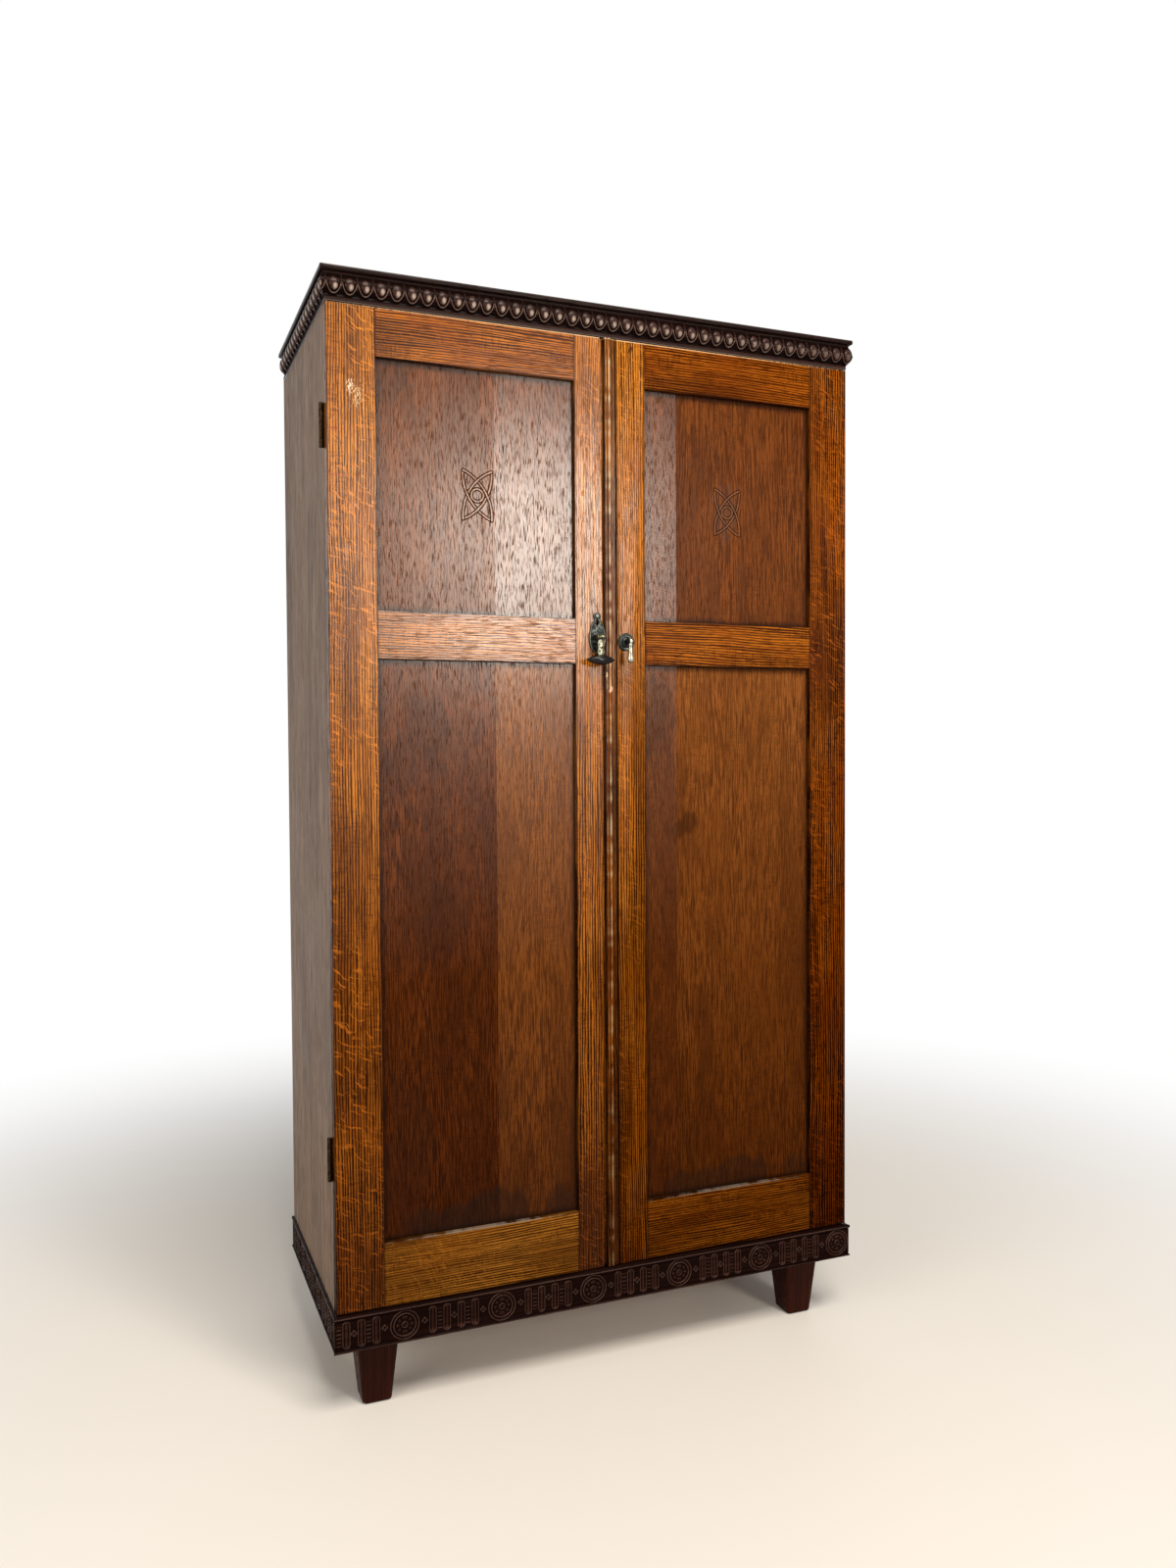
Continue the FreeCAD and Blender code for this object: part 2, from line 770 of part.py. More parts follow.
def keyhole(front, back):
    """A round hole with a slot below it, through whatever lies between two planes."""
    x = meeting_edge - lock_backset
    top = lock_height + keyhole_slot_length / 2
    hole = rod(Vector(x, front, top), Vector(0, 1, 0), keyhole_radius, back - front)
    half = keyhole_slot_width / 2
    return hole.fuse(box(x - half, x + half, front, back, top - keyhole_slot_length, top))


def strike_block():
    """The space that the strike plate fills in the right meeting stile's edge."""
    y = door_back - lock_case_thickness / 2
    half_y = strike_width / 2
    half_z = strike_height / 2
    return box(
        right_meeting_edge,
        right_meeting_edge + strike_thickness,
        max(y - half_y, door_face + strike_thickness),
        min(y + half_y, door_back),
        lock_height - half_z,
        lock_height + half_z,
    )


def build_lock():
    case_front_y = door_back - lock_case_thickness
    case = lock_case_block().cut(keyhole(case_front_y, case_front_y + keyhole_depth))
    channel_start = meeting_edge - lock_bolt_length - SIDE_FIT
    save("lock_case", clean(case.cut(bolt_slot(channel_start, meeting_edge))))
    y = door_back - lock_case_thickness / 2
    half_y = lock_bolt_thickness / 2
    half_z = lock_bolt_width / 2
    bolt_end = meeting_edge - lock_bolt_length
    bolt = box(bolt_end, meeting_edge, y - half_y, y + half_y, lock_height - half_z, lock_height + half_z)
    save("lock_bolt", bolt)
    strike_end = right_meeting_edge + strike_thickness
    save("strike_plate", clean(strike_block().cut(bolt_slot(right_meeting_edge, strike_end))))


# Sliding bolts on the back of the right door

def bolt_limits(way):
    """The far end of the withdrawn rod and of its plate, for the top or the bottom bolt."""
    mouth = roof_bottom if way > 0 else base_top
    return mouth - way * bolt_end_gap, mouth - way * bolt_plate_end_gap


def bolt_plate(way):
    """A plate with two staples that guide the rod."""
    rod_end, plate_end = bolt_limits(way)
    half = bolt_plate_width / 2
    plate_back = door_back + bolt_plate_thickness
    plate_start = plate_end - way * bolt_plate_length
    plate = box(bolt_x - half, bolt_x + half, door_back, plate_back, plate_start, plate_end)
    near = bolt_x - bolt_staple_width / 2
    far = bolt_x + bolt_staple_width / 2
    staple_back = bolt_y + bolt_rod_radius + bolt_staple_wall
    for end in (plate_end, plate_end - way * bolt_staple_spacing):
        plate = plate.fuse(box(near, far, door_back, staple_back, end, end - way * bolt_staple_length))
    mouth = Vector(bolt_x, bolt_y, rod_end + way * bolt_throw)
    span = bolt_plate_length + bolt_rod_length
    return clean(plate.cut(rod(mouth, Vector(0, 0, -way), bolt_rod_radius + RADIAL_FIT, span)))


def bolt_rod(way):
    """A round rod with a small round knob, which runs between the staples."""
    rod_end = bolt_limits(way)[0]
    bar = rod(Vector(bolt_x, bolt_y, rod_end), Vector(0, 0, -way), bolt_rod_radius, bolt_rod_length)
    knob_z = rod_end - way * (bolt_rod_length / 2)
    knob = rod(Vector(bolt_x, bolt_y, knob_z), Vector(0, 1, 0), bolt_knob_radius, bolt_knob_length)
    return clean(bar.fuse(knob))


def build_sliding_bolts():
    save("bolt_plates", bolt_plate(1), bolt_plate(-1))
    save("top_bolt", bolt_rod(1))
    save("bottom_bolt", bolt_rod(-1))


# Pulls

def fork_ears(x, z, standoff, root_y, ear_radius, ear_thickness, ear_gap):
    """Two ears with round ends, bored for the pin that they carry across."""
    pin_y = door_face - standoff
    half = ear_gap / 2 + ear_thickness
    bore = rod(Vector(x - half, pin_y, z), Vector(1, 0, 0), pull_pin_radius, 2 * half)
    ears = []
    for side in (LEFT, RIGHT):
        inner = x + side * ear_gap / 2
        outer = x + side * half
        ear = box(inner, outer, pin_y, root_y, z - ear_radius, z + ear_radius)
        start = Vector(min(inner, outer), pin_y, z)
        ears.append(ear.fuse(rod(start, Vector(1, 0, 0), ear_radius, ear_thickness)).cut(bore))
    return ears


def pull_pin(x, z, standoff, ear_thickness, ear_gap):
    """The pin across a fork."""
    half = ear_gap / 2 + ear_thickness
    return rod(Vector(x - half, door_face - standoff, z), Vector(1, 0, 0), pull_pin_radius, 2 * half)


def pull_shank():
    """The round shank that fixes the left pull's lug through its plate into the stile."""
    start = Vector(pull_plate_centre, door_face - pull_plate_thickness, pull_lug_height)
    return rod(start, Vector(0, 1, 0), pull_shank_radius, pull_plate_thickness + pull_shank_length)


def pull_lug():
    """A square foot on the plate with two ears for the pin, and its shank."""
    half_x = pull_ear_gap / 2 + pull_ear_thickness
    plate_front = door_face - pull_plate_thickness
    foot_front = plate_front - pull_lug_foot
    low = pull_lug_height - pull_ear_radius
    high = pull_lug_height + pull_ear_radius
    lug = box(pull_plate_centre - half_x, pull_plate_centre + half_x, foot_front, plate_front, low, high)
    ears = fork_ears(
        pull_plate_centre,
        pull_lug_height,
        pull_standoff,
        plate_front,
        pull_ear_radius,
        pull_ear_thickness,
        pull_ear_gap,
    )
    return clean(lug.fuse(ears).fuse(pull_shank()))


def leaf_plate():
    """A leaf-shaped plate: a round foot, long tapering shoulders and a small round tip."""
    w = pull_plate_half_width
    length = pull_plate_length
    widest_share = 0.38
    foot_share = (0.72, 0.10)
    shoulder_share = (0.70, 0.64)
    neck_share = (0.24, 0.87)
    tip_side_share = (0.34, 0.94)

    def at(side, across, along):
        z = pull_plate_bottom + along * length
        return Vector(pull_plate_centre + side * across * w, door_face, z)

    edges = []
    for side in (LEFT, RIGHT):
        foot_point = at(side, 0, 0)
        widest = at(side, 1, widest_share)
        neck = at(side, *neck_share)
        tip = at(side, 0, 1)
        edges.append(arc(foot_point, at(side, *foot_share), widest))
        edges.append(arc(widest, at(side, *shoulder_share), neck))
        edges.append(arc(neck, at(side, *tip_side_share), tip))
    face = Part.Face(Part.Wire(Part.__sortEdges__(edges)))
    return face.extrude(Vector(0, -pull_plate_thickness, 0))


def pull_stem():
    """The pierced stem that hangs from the pin and carries the grip."""
    x = pull_plate_centre
    y = door_face - pull_standoff
    half_x = pull_ear_gap / 2 - SIDE_FIT
    half_y = stem_thickness / 2
    eye_start = Vector(x - half_x, y, pull_lug_height)
    eye = rod(eye_start, Vector(1, 0, 0), pull_ear_radius, 2 * half_x)
    bottom = pull_lug_height - stem_length
    shank = box(x - half_x, x + half_x, y - half_y, y + half_y, bottom, pull_lug_height)
    stem = eye.fuse(shank)
    for side in (LEFT, RIGHT):
        start = Vector(x + side * half_x / 2, y - half_y, pull_lug_height - stem_hole_drop)
        stem = stem.cut(rod(start, Vector(0, 1, 0), stem_hole_radius, stem_thickness))
    return stem.cut(rod(eye_start, Vector(1, 0, 0), pull_pin_radius + RADIAL_FIT, 2 * half_x))


def ring(centre, across, up, radius):
    """The corners of a regular outline with many sides, round a centre."""
    corners = []
    for index in range(ring_sides):
        turn = 2 * math.pi * index / ring_sides
        corners.append(centre + across * (math.cos(turn) * radius) + up * (math.sin(turn) * radius))
    return corners


def pull_grip():
    """A boat-shaped grip, worked round with flats and drawn out to a point at each end."""
    z = pull_lug_height - stem_length + stem_seat - grip_radius
    station_shares = (-1, -0.88, -0.65, -0.34, 0, 0.34, 0.65, 0.88, 1)
    swell_shares = (0, 0.3, 0.66, 0.92, 1, 0.92, 0.66, 0.3, 0)
    rings = []
    for along, swell in zip(station_shares, swell_shares):
        centre = Vector(pull_plate_centre + along * grip_length / 2, door_face - pull_standoff, z)
        radius = grip_tip_radius + (grip_radius - grip_tip_radius) * swell
        rings.append(ring(centre, Vector(0, 1, 0), Vector(0, 0, 1), radius))
    return flat_sided(rings)


def spindle_point(depth):
    """A point on the right pull's axis, depth behind the door's face."""
    return Vector(rose_centre, door_face + depth, rose_height)


def rose_plate():
    """A round rose with a boss round the spindle."""
    outward = Vector(0, -1, 0)
    disc = rod(spindle_point(0), outward, rose_radius, rose_rim)
    boss = rod(spindle_point(0), outward, rose_boss_radius, rose_rise)
    hole = rod(spindle_point(0), outward, spindle_radius + spindle_hole_clearance, rose_rise)
    return clean(disc.fuse(boss).cut(hole))


def spindle():
    """The forked spindle: a round post in front of the rose, its ears, and a shank to the nut."""
    post_length = drop_standoff - rose_rise - drop_ear_radius - SIDE_FIT
    root_y = door_face - rose_rise - post_length
    ears = fork_ears(
        rose_centre,
        rose_height,
        drop_standoff,
        root_y + drop_ear_thickness,
        drop_ear_radius,
        drop_ear_thickness,
        drop_ear_gap,
    )
    post = rod(spindle_point(-rose_rise), Vector(0, -1, 0), spindle_post_radius, post_length)
    length = rose_rise + door_thickness + nut_thickness
    shank = rod(spindle_point(-rose_rise), Vector(0, 1, 0), spindle_radius, length)
    return clean(shank.fuse(post).fuse(ears))


def pear_drop():
    """A pear drop, worked round with flats, with an eye on the pin."""
    y = door_face - drop_standoff
    half_x = drop_ear_gap / 2 - SIDE_FIT
    eye_start = Vector(rose_centre - half_x, y, rose_height)
    eye = rod(eye_start, Vector(1, 0, 0), drop_ear_radius - SIDE_FIT, 2 * half_x)
    stations = [
        (drop_ear_radius / 2, drop_neck_radius),
        (drop_ear_radius * 2, drop_neck_radius),
        (drop_length - drop_end_radius * 1.6, drop_end_radius * 0.9),
        (drop_length - drop_end_radius, drop_end_radius),
        (drop_length - drop_end_radius * 0.4, drop_end_radius * 0.8),
        (drop_length, drop_end_radius * 0.3),
    ]
    rings = []
    for down, radius in stations:
        centre = Vector(rose_centre, y, rose_height - down)
        rings.append(ring(centre, Vector(1, 0, 0), Vector(0, 1, 0), radius))
    bore = rod(eye_start, Vector(1, 0, 0), pull_pin_radius + RADIAL_FIT, 2 * half_x)
    return clean(eye.fuse(flat_sided(rings)).cut(bore))


def hexagon_nut():
    """The nut that holds the spindle from behind the stile."""
    start = spindle_point(door_thickness)
    corners = []
    for index in range(6):
        turn = index * math.pi / 3
        corners.append(start + Vector(math.cos(turn), 0, math.sin(turn)) * nut_radius)
    nut = polygon_face(corners).extrude(Vector(0, nut_thickness, 0))
    return nut.cut(rod(start, Vector(0, 1, 0), spindle_radius, nut_thickness))


def build_pulls():
    plate = leaf_plate().cut(keyhole(door_face - pull_plate_thickness, door_face))
    save("left_pull_plate", clean(plate.cut(pull_shank())))
    save("left_pull_lug", pull_lug())
    pin = pull_pin(pull_plate_centre, pull_lug_height, pull_standoff, pull_ear_thickness, pull_ear_gap)
    save("left_pull_pin", pin)
    grip = pull_grip()
    save("left_pull_stem", clean(pull_stem().cut(grip)))
    save("left_pull_grip", grip)
    save("right_pull_rose", rose_plate())
    save("right_pull_spindle", spindle())
    save("right_pull_nut", hexagon_nut())
    pin = pull_pin(rose_centre, rose_height, drop_standoff, drop_ear_thickness, drop_ear_gap)
    save("right_pull_pin", pin)
    save("right_pull_drop", pear_drop())


build_case()
build_interior()
build_cornice()
build_plinth()
build_feet()
build_hinges()
build_doors()
build_lock()
build_sliding_bolts()
build_pulls()
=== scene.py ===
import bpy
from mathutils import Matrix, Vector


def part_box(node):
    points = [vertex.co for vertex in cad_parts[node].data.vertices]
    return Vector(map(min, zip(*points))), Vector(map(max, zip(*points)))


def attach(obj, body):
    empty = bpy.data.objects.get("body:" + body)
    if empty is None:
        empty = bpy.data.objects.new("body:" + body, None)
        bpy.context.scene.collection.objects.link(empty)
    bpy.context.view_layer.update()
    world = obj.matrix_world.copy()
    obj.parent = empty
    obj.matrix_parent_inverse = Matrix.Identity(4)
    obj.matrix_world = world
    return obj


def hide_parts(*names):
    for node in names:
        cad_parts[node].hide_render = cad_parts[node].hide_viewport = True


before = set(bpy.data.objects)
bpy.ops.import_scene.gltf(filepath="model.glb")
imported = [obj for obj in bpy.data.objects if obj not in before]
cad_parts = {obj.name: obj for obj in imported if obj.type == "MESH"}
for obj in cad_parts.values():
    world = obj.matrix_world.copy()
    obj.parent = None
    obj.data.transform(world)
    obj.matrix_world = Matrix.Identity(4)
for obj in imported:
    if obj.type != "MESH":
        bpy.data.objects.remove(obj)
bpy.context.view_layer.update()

"""An oak wardrobe with two framed doors, an egg-and-dart cornice and a carved plinth.

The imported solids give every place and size. Each sub-assembly below builds its visible
boards, carvings and metalwork over its own nodes, and dresses them with finishes that
read the way the wood was cut.
"""

import logging
import math
from dataclasses import dataclass, field
from enum import Enum
from functools import cache, partial
from itertools import product
from typing import Callable, Iterable, Sequence

import bmesh
import bpy
import numpy as np
from mathutils import Matrix, Vector

LOG = logging.getLogger("wardrobe")
MM = 0.001
# The crown of plain wood or metal, between a hollow's 0 and a rubbed crest's 1. Low and high crowns also
# paint shade and highlights in places.
PLAIN = 0.7
# The doors' face, as y in metres.
FRONT_Y = -0.2
SMOOTH = {"interpolation_type": "SMOOTHSTEP"}
Triple = tuple[float, float, float]
Faces = list[tuple[int, ...]]
Shape = tuple[np.ndarray, Faces]
Carved = tuple[np.ndarray, Faces, np.ndarray]
Relief = Callable[[np.ndarray, np.ndarray], tuple[np.ndarray, np.ndarray]]
Node = bpy.types.Node
Socket = bpy.types.NodeSocket
Source = Node | Socket | tuple
Adder = Callable[..., Node]


def linear(code: str) -> tuple[float, float, float, float]:
    """Turn an sRGB hex colour into the linear colour that a shader takes.

    Args:
        code: Six hex digits after a hash.

    Returns:
        Red, green, blue and an alpha of one.
    """
    shades = []
    for start in (1, 3, 5):
        value = int(code[start:start + 2], 16) / 255
        shades.append(value / 12.92 if value <= 0.04045 else ((value + 0.055) / 1.055) ** 2.4)
    return (shades[0], shades[1], shades[2], 1.0)


def add_node(tree: bpy.types.NodeTree, kind: str, inputs: dict | None = None, **settings: object) -> Node:
    """Add one node with its settings, its values and its links.

    Args:
        tree: The node tree that takes it.
        kind: The node's type name, a shader node's without ShaderNode in front.
        inputs: Value, socket or node that feeds each input, by name or index.
        **settings: Properties of the node itself.

    Returns:
        The node, which feeds others from its first output in use.
    """
    made = tree.nodes.new(kind if kind.startswith(("Geometry", "NodeGroup")) else "ShaderNode" + kind)
    for name, value in settings.items():
        setattr(made, name, value)
    for key, value in (inputs or {}).items():
        if isinstance(value, Node):
            value = next(output for output in value.outputs if output.enabled)
        if isinstance(value, Socket):
            tree.links.new(value, made.inputs[key])
        else:
            made.inputs[key].default_value = value
    return made


def wiring(owner: bpy.types.ID) -> Adder:
    """Empty a material's or a world's node tree.

    Args:
        owner: The material or world.

    Returns:
        What adds a node to its tree.
    """
    owner.use_nodes = True
    owner.node_tree.nodes.clear()
    return partial(add_node, owner.node_tree)


def coats(add: Adder, colour: Source, layers: Iterable[tuple[Source, float, str]]) -> Source:
    """Lay thin coats of colour over one another.

    Args:
        add: What adds a node.
        colour: The colour under them all.
        layers: Mask, share of it that covers, and sRGB hex colour of each coat.

    Returns:
        The colour that shows.
    """
    for mask, share, over in layers:
        part = add("Math", {0: mask, 1: share}, operation="MULTIPLY")
        colour = add("Mix", {0: part, 6: colour, 7: linear(over)}, data_type="RGBA")
    return colour


class Cut(Enum):
    """Which axis a board's grain runs along, which lies across it, and which is its depth."""

    UPRIGHT = (2, 0, 1)
    LEVEL = (0, 2, 1)
    RETURN = (1, 2, 0)
    SIDE = (2, 1, 0)
    FLAT = (0, 1, 2)


@dataclass(frozen=True)
class Plank:
    """How one board was picked and cut, which the wood finishes read from the mesh."""

    cut: Cut
    seed: int
    tone: float = 0.5
    ray: float = 0.3
    polish: float = 1.0

    def log_frame(self, points: np.ndarray) -> np.ndarray:
        """Place points, in metres, along, across and into the log that the board came from."""
        return points[:, list(self.cut.value)] + np.array([0.731, 0.217, 0.093]) * self.seed


# Metal has no grain, so its shapes all share this plank.
METAL = Plank(Cut.UPRIGHT, 1)


class Joinery:
    """Collects shapes with the plank that each was cut from, then fits them as one piece."""

    def __init__(self) -> None:
        """Start with no shapes."""
        self.points: list[np.ndarray] = []
        self.faces: Faces = []
        self.layers: dict[str, list[np.ndarray]] = {
            layer: [] for layer in ("grain", "near", "far", "tone", "ray", "polish", "crown")}
        self.count = 0

    def add(self, points: Sequence, faces: Iterable[Sequence[int]], crown: np.ndarray | None = None,
            plank: Plank = METAL, extent: tuple[Triple, Triple] | None = None) -> None:
        """Add one shape.

        Args:
            points: Its corners in metres.
            faces: Its faces, as runs of corner numbers.
            crown: For carving, 0 in a hollow and 1 on a rubbed crest; plain wood is 0.7. Low and high crowns
                also paint shade and highlights in places.
            plank: The board that it was cut from.
            extent: The board's low and high corners where they aren't the shape's own.
        """
        spots = np.asarray(points, dtype=float)
        order = list(plank.cut.value)
        low, high = (np.asarray(c) for c in extent) if extent else (spots.min(axis=0), spots.max(axis=0))
        self.points.append(spots)
        self.faces.extend(tuple(index + self.count for index in face) for face in faces)
        found = {
            "grain": plank.log_frame(spots), "near": (spots - low)[:, order], "far": (high - spots)[:, order],
            "crown": np.full(len(spots), PLAIN) if crown is None else np.asarray(crown, dtype=float)}
        found |= {layer: np.full(len(spots), getattr(plank, layer)) for layer in ("tone", "ray", "polish")}
        for layer, values in found.items():
            self.layers[layer].append(values)
        self.count += len(spots)

    def fit(self, name: str, body: str, slot: str, finish: "OakFinish | MetalFinish", node: str,
            smooth: float | None = None) -> None:
        """Make one mesh of the shapes and fit it in a node's place.

        Args:
            name: The piece's name.
            body: The body that it rides on.
            slot: The record's material slot.
            finish: Its finish.
            node: The node that it stands for.
            smooth: Angle in degrees under which edges are shaded smooth, or none.
        """
        mesh = bpy.data.meshes.new(name)
        mesh.from_pydata(np.concatenate(self.points).tolist(), [], self.faces)
        for layer, values in self.layers.items():
            store(mesh, layer, np.concatenate(values))
        if smooth is not None:
            shade(mesh, smooth)
        mesh.update()
        fit_piece(name, mesh, body, slot, finish, node)


def store(mesh: bpy.types.Mesh, name: str, values: np.ndarray) -> None:
    """Store a value or a vector at each corner of a mesh.

    Args:
        mesh: The mesh.
        name: The attribute's name.
        values: One number or one row of three for each corner.
    """
    vector = values.ndim == 2
    layer = mesh.attributes.new(name, "FLOAT_VECTOR" if vector else "FLOAT", "POINT")
    layer.data.foreach_set("vector" if vector else "value", values.astype(np.float32).ravel())


def taken(shape: bmesh.types.BMesh) -> Shape:
    """Take the corners and faces out of a bmesh and free it.

    Args:
        shape: The bmesh.

    Returns:
        Corners in metres, and faces as runs of corner numbers.
    """
    shape.verts.index_update()
    points = np.array([vert.co[:] for vert in shape.verts])
    faces = [tuple(vert.index for vert in face.verts) for face in shape.faces]
    shape.free()
    return points, faces


def shade(mesh: bpy.types.Mesh, angle: float) -> None:
    """Shade a mesh smooth, apart from edges sharper than an angle in degrees."""
    mesh.shade_smooth()
    mesh.set_sharp_from_angle(angle=math.radians(angle))


def cad_shape(node: str, ease: float, angle: float = 30.0) -> Shape:
    """Copy a node's solid with its flat faces joined up and its arrises eased.

    Args:
        node: The node's name.
        ease: Width of the easing in millimetres.
        angle: Edges sharper than this are eased, in degrees.

    Returns:
        Corners in metres, and faces as runs of corner numbers.
    """
    shape = bmesh.new()
    shape.from_mesh(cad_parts[node].data)
    bmesh.ops.remove_doubles(shape, verts=shape.verts[:], dist=0.004 * MM)
    bmesh.ops.dissolve_limit(shape, angle_limit=math.radians(1.0), verts=shape.verts[:], edges=shape.edges[:])
    if ease > 0:
        limit = math.radians(angle)
        sharp = [e for e in shape.edges if len(e.link_faces) == 2 and e.calc_face_angle(0) > limit]
        bmesh.ops.bevel(shape, geom=sharp, offset=ease * MM, segments=2, profile=0.5, affect="EDGES",
                        clamp_overlap=True)
    return taken(shape)


def fit_piece(name: str, mesh: bpy.types.Mesh, body: str, slot: str, finish: "OakFinish | MetalFinish",
              *nodes: str) -> None:
    """Put a finished mesh into the scene on its body.

    Args:
        name: The piece's name.
        mesh: Its mesh, with its place in its corners.
        body: The body that it rides on.
        slot: Not used.
        finish: Its finish.
        *nodes: Nodes that it stands for.
    """
    mesh.materials.clear()
    mesh.materials.append(finish.material())
    piece = bpy.data.objects.new(name, mesh)
    bpy.context.scene.collection.objects.link(piece)
    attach(piece, body)
    if nodes:
        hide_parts(*nodes)
    LOG.info("%s: %d faces on %s", name, len(mesh.polygons), body)


@dataclass(frozen=True)
class Figure:
    """A noise drawn out in the wood; its size is how far apart it repeats, in millimetres."""

    size: Triple
    detail: float = 1.0
    edges: tuple[float, float] | None = None

    def over(self, add: Adder, place: Source) -> Node:
        """Draw the figure.

        Args:
            add: What adds a node.
            place: Place along the grain, across it and into the wood.

        Returns:
            The noise, raised smoothly from none to full between its edges where it has them.
        """
        stretch = Vector([1 / length for length in self.size]) / MM
        spot = add("VectorMath", {0: place, 1: stretch}, operation="MULTIPLY")
        made = add("TexNoise", {"Vector": spot, "Scale": 1.0, "Detail": self.detail, "Roughness": 0.55})
        if self.edges:
            made = add("MapRange", {0: made, 1: self.edges[0], 2: self.edges[1]}, **SMOOTH)
        return made


# What all the wood shares: how it sways, where it is paler or darker, and where its rays lie.
SWAY = Figure((454.545, 111.111, 111.111))
WANDER = Figure((150.0, 16.0, 30.0), 2.0)
PATCHES = Figure((166.667, 111.111, 125.0), 3.0)
BROAD = Figure((333.333, 66.667, 90.909), 2.0, (0.47, 0.66))
CROSS = Figure((3.2, 22.0, 20.0), 2.0, (0.50, 0.64))
CROSSED = Figure((142.857, 47.619, 90.909), 1.0, (0.44, 0.60))
FLECK_BEND = Figure((30.0, 24.0, 30.0))
FLECK_DRIFTS = Figure((294.118, 71.429, 100.0), 1.0, (0.40, 0.56))


@dataclass(frozen=True)
class Mark:
    """A worn, bruised or stained spot, or a painted highlight line, on the front, placed and sized in
    millimetres.
    """

    x: float
    z: float
    wide: float
    tall: float
    colour: str
    share: float = 0.8
    grain_mm: float = 3.0
    broken: float = 2.6


@dataclass(frozen=True)
class OakFinish:
    """Sawn wood, stained and French polished.

    Quarter sawing gives straight, fine growth streaks with open pores, and lays the rays open
    as short pale flecks. The stain lies deeper in the pores and in the hollows of a carving.
    The margins of a board are darkened, as dirt where a cloth doesn't reach and as painted
    shade where a panel meets its frame, and the colour darkens towards the floor as painted
    shade. Pale crests are wear, and in places painted highlight. Real pores are about 0.3 mm
    wide and growth lines 1 to 2 mm apart, too fine to show here, so both are drawn a few times
    coarser.
    """

    name: str
    dark: str
    middle: str
    light: str
    fleck: str
    pore: str = "#2a1206"
    # Dirt and painted shade, laid on the margins and on low crowns.
    grime: str = "#170b05"
    # Wear and painted highlight, laid on high crowns.
    rubbed: str = "#c9a27a"
    streak_mm: float = 3.4
    streak_length_mm: float = 260.0
    pore_mm: float = 1.2
    pore_length_mm: float = 22.0
    pore_share: float = 0.7
    fleck_share: float = 0.6
    fleck_mm: float = 3.4
    fleck_length_mm: float = 16.0
    fleck_lean: float = 62.0
    cross_share: float = 0.4
    grime_width_mm: float = 4.0
    grime_share: float = 0.6
    rubbed_share: float = 0.5
    line_mm: float = 3.5
    line_share: float = 0.5
    # Painted shade: the value that the colour falls to at the floor.
    foot_value: float = 1.0
    foot_polish: float = 0.1
    head_polish: float = 0.5
    pore_polish: float = 0.4
    roughness: float = 0.36
    gloss: float = 0.3
    relief_mm: float = 0.08
    marks: tuple[Mark, ...] = ()

    @cache
    def material(self) -> bpy.types.Material:
        """Build the finish as shader nodes, once.

        Returns:
            The material.
        """
        material = bpy.data.materials.new(self.name)
        add = wiring(material)
        grain = add("Attribute", attribute_name="grain").outputs["Vector"]
        tone, ray, kept, crown = (add("Attribute", attribute_name=layer).outputs["Fac"]
                                  for layer in ("tone", "ray", "polish", "crown"))
        place = add("SeparateXYZ", {0: add("TexCoord").outputs["Object"]})
        height = place.outputs[2]
        # The grain, its streaks and lines, and its pores.
        lean = add("Math", {0: SWAY.over(add, grain), 1: 0.5}, operation="SUBTRACT")
        drift = add("Math", {0: lean, 1: 20 * MM}, operation="MULTIPLY")
        wood = add("VectorMath", {0: grain, 1: add("CombineXYZ", {"Y": drift})}, operation="ADD")
        loose = Figure((self.streak_length_mm, self.streak_mm, 30.0), 2.0, (0.40, 0.60)).over(add, wood)
        streak = add("Mix", {0: self.line_share, 2: loose, 3: self.lines(add, wood)}, data_type="FLOAT")
        streak = add("MapRange", {0: streak, 1: 0.25, 2: 0.75}, **SMOOTH)
        patch = PATCHES.over(add, grain)
        pores = Figure((self.pore_length_mm, self.pore_mm, 3.0), 1.0, (0.53, 0.64)).over(add, wood)
        colour = add("Mix", {0: streak, 6: linear(self.dark), 7: linear(self.light)}, data_type="RGBA")
        colour = coats(add, colour, (
            (add("MapRange", {0: patch, 1: 0.36, 2: 0.68}, **SMOOTH), 0.5, self.middle),
            (BROAD.over(add, grain), 0.5, self.dark),
            (add("Math", {0: CROSS.over(add, grain), 1: CROSSED.over(add, grain)}, operation="MULTIPLY"),
             self.cross_share, self.dark),
            (add("Math", {0: self.flecks(add, grain), 1: ray}, operation="MULTIPLY"),
             self.fleck_share, self.fleck),
            (pores, self.pore_share, self.pore),
            # Wear and painted highlight, on high crowns.
            (add("MapRange", {0: crown, 1: 0.74, 2: 1.0}), self.rubbed_share, self.rubbed)))
        # The board's own tone, and painted shade that darkens and reddens the colour towards the floor.
        fall = add("MapRange", {0: height, 1: 0.15, 2: 1.2, 3: self.foot_value, 4: 1.0})
        value = add("Math", {0: add("MapRange", {0: tone, 3: 0.5, 4: 1.5}), 1: fall}, operation="MULTIPLY")
        depth = add("MapRange", {0: tone, 3: 1.5, 4: 0.5})
        depth = add("Math", {0: fall, 1: -0.42, 2: depth}, operation="MULTIPLY_ADD")
        depth = add("Math", {0: depth, 1: 0.42}, operation="ADD")
        colour = add("Gamma", {"Color": colour, "Gamma": depth})
        colour = add("HueSaturation", {"Value": value, "Color": colour})
        # Dirt and painted shade on the margins and low crowns; the marks add wear, stains and painted
        # highlight lines.
        hollow = add("MapRange", {0: crown, 1: 0.1, 2: 0.6, 3: 0.9, 4: 0.0})
        colour = coats(add, colour, (
            (self.rim(add, patch), self.grime_share, self.grime),
            *((self.spot(add, place, mark), mark.share, mark.colour) for mark in self.marks),
            (hollow, 1.0, self.grime)))
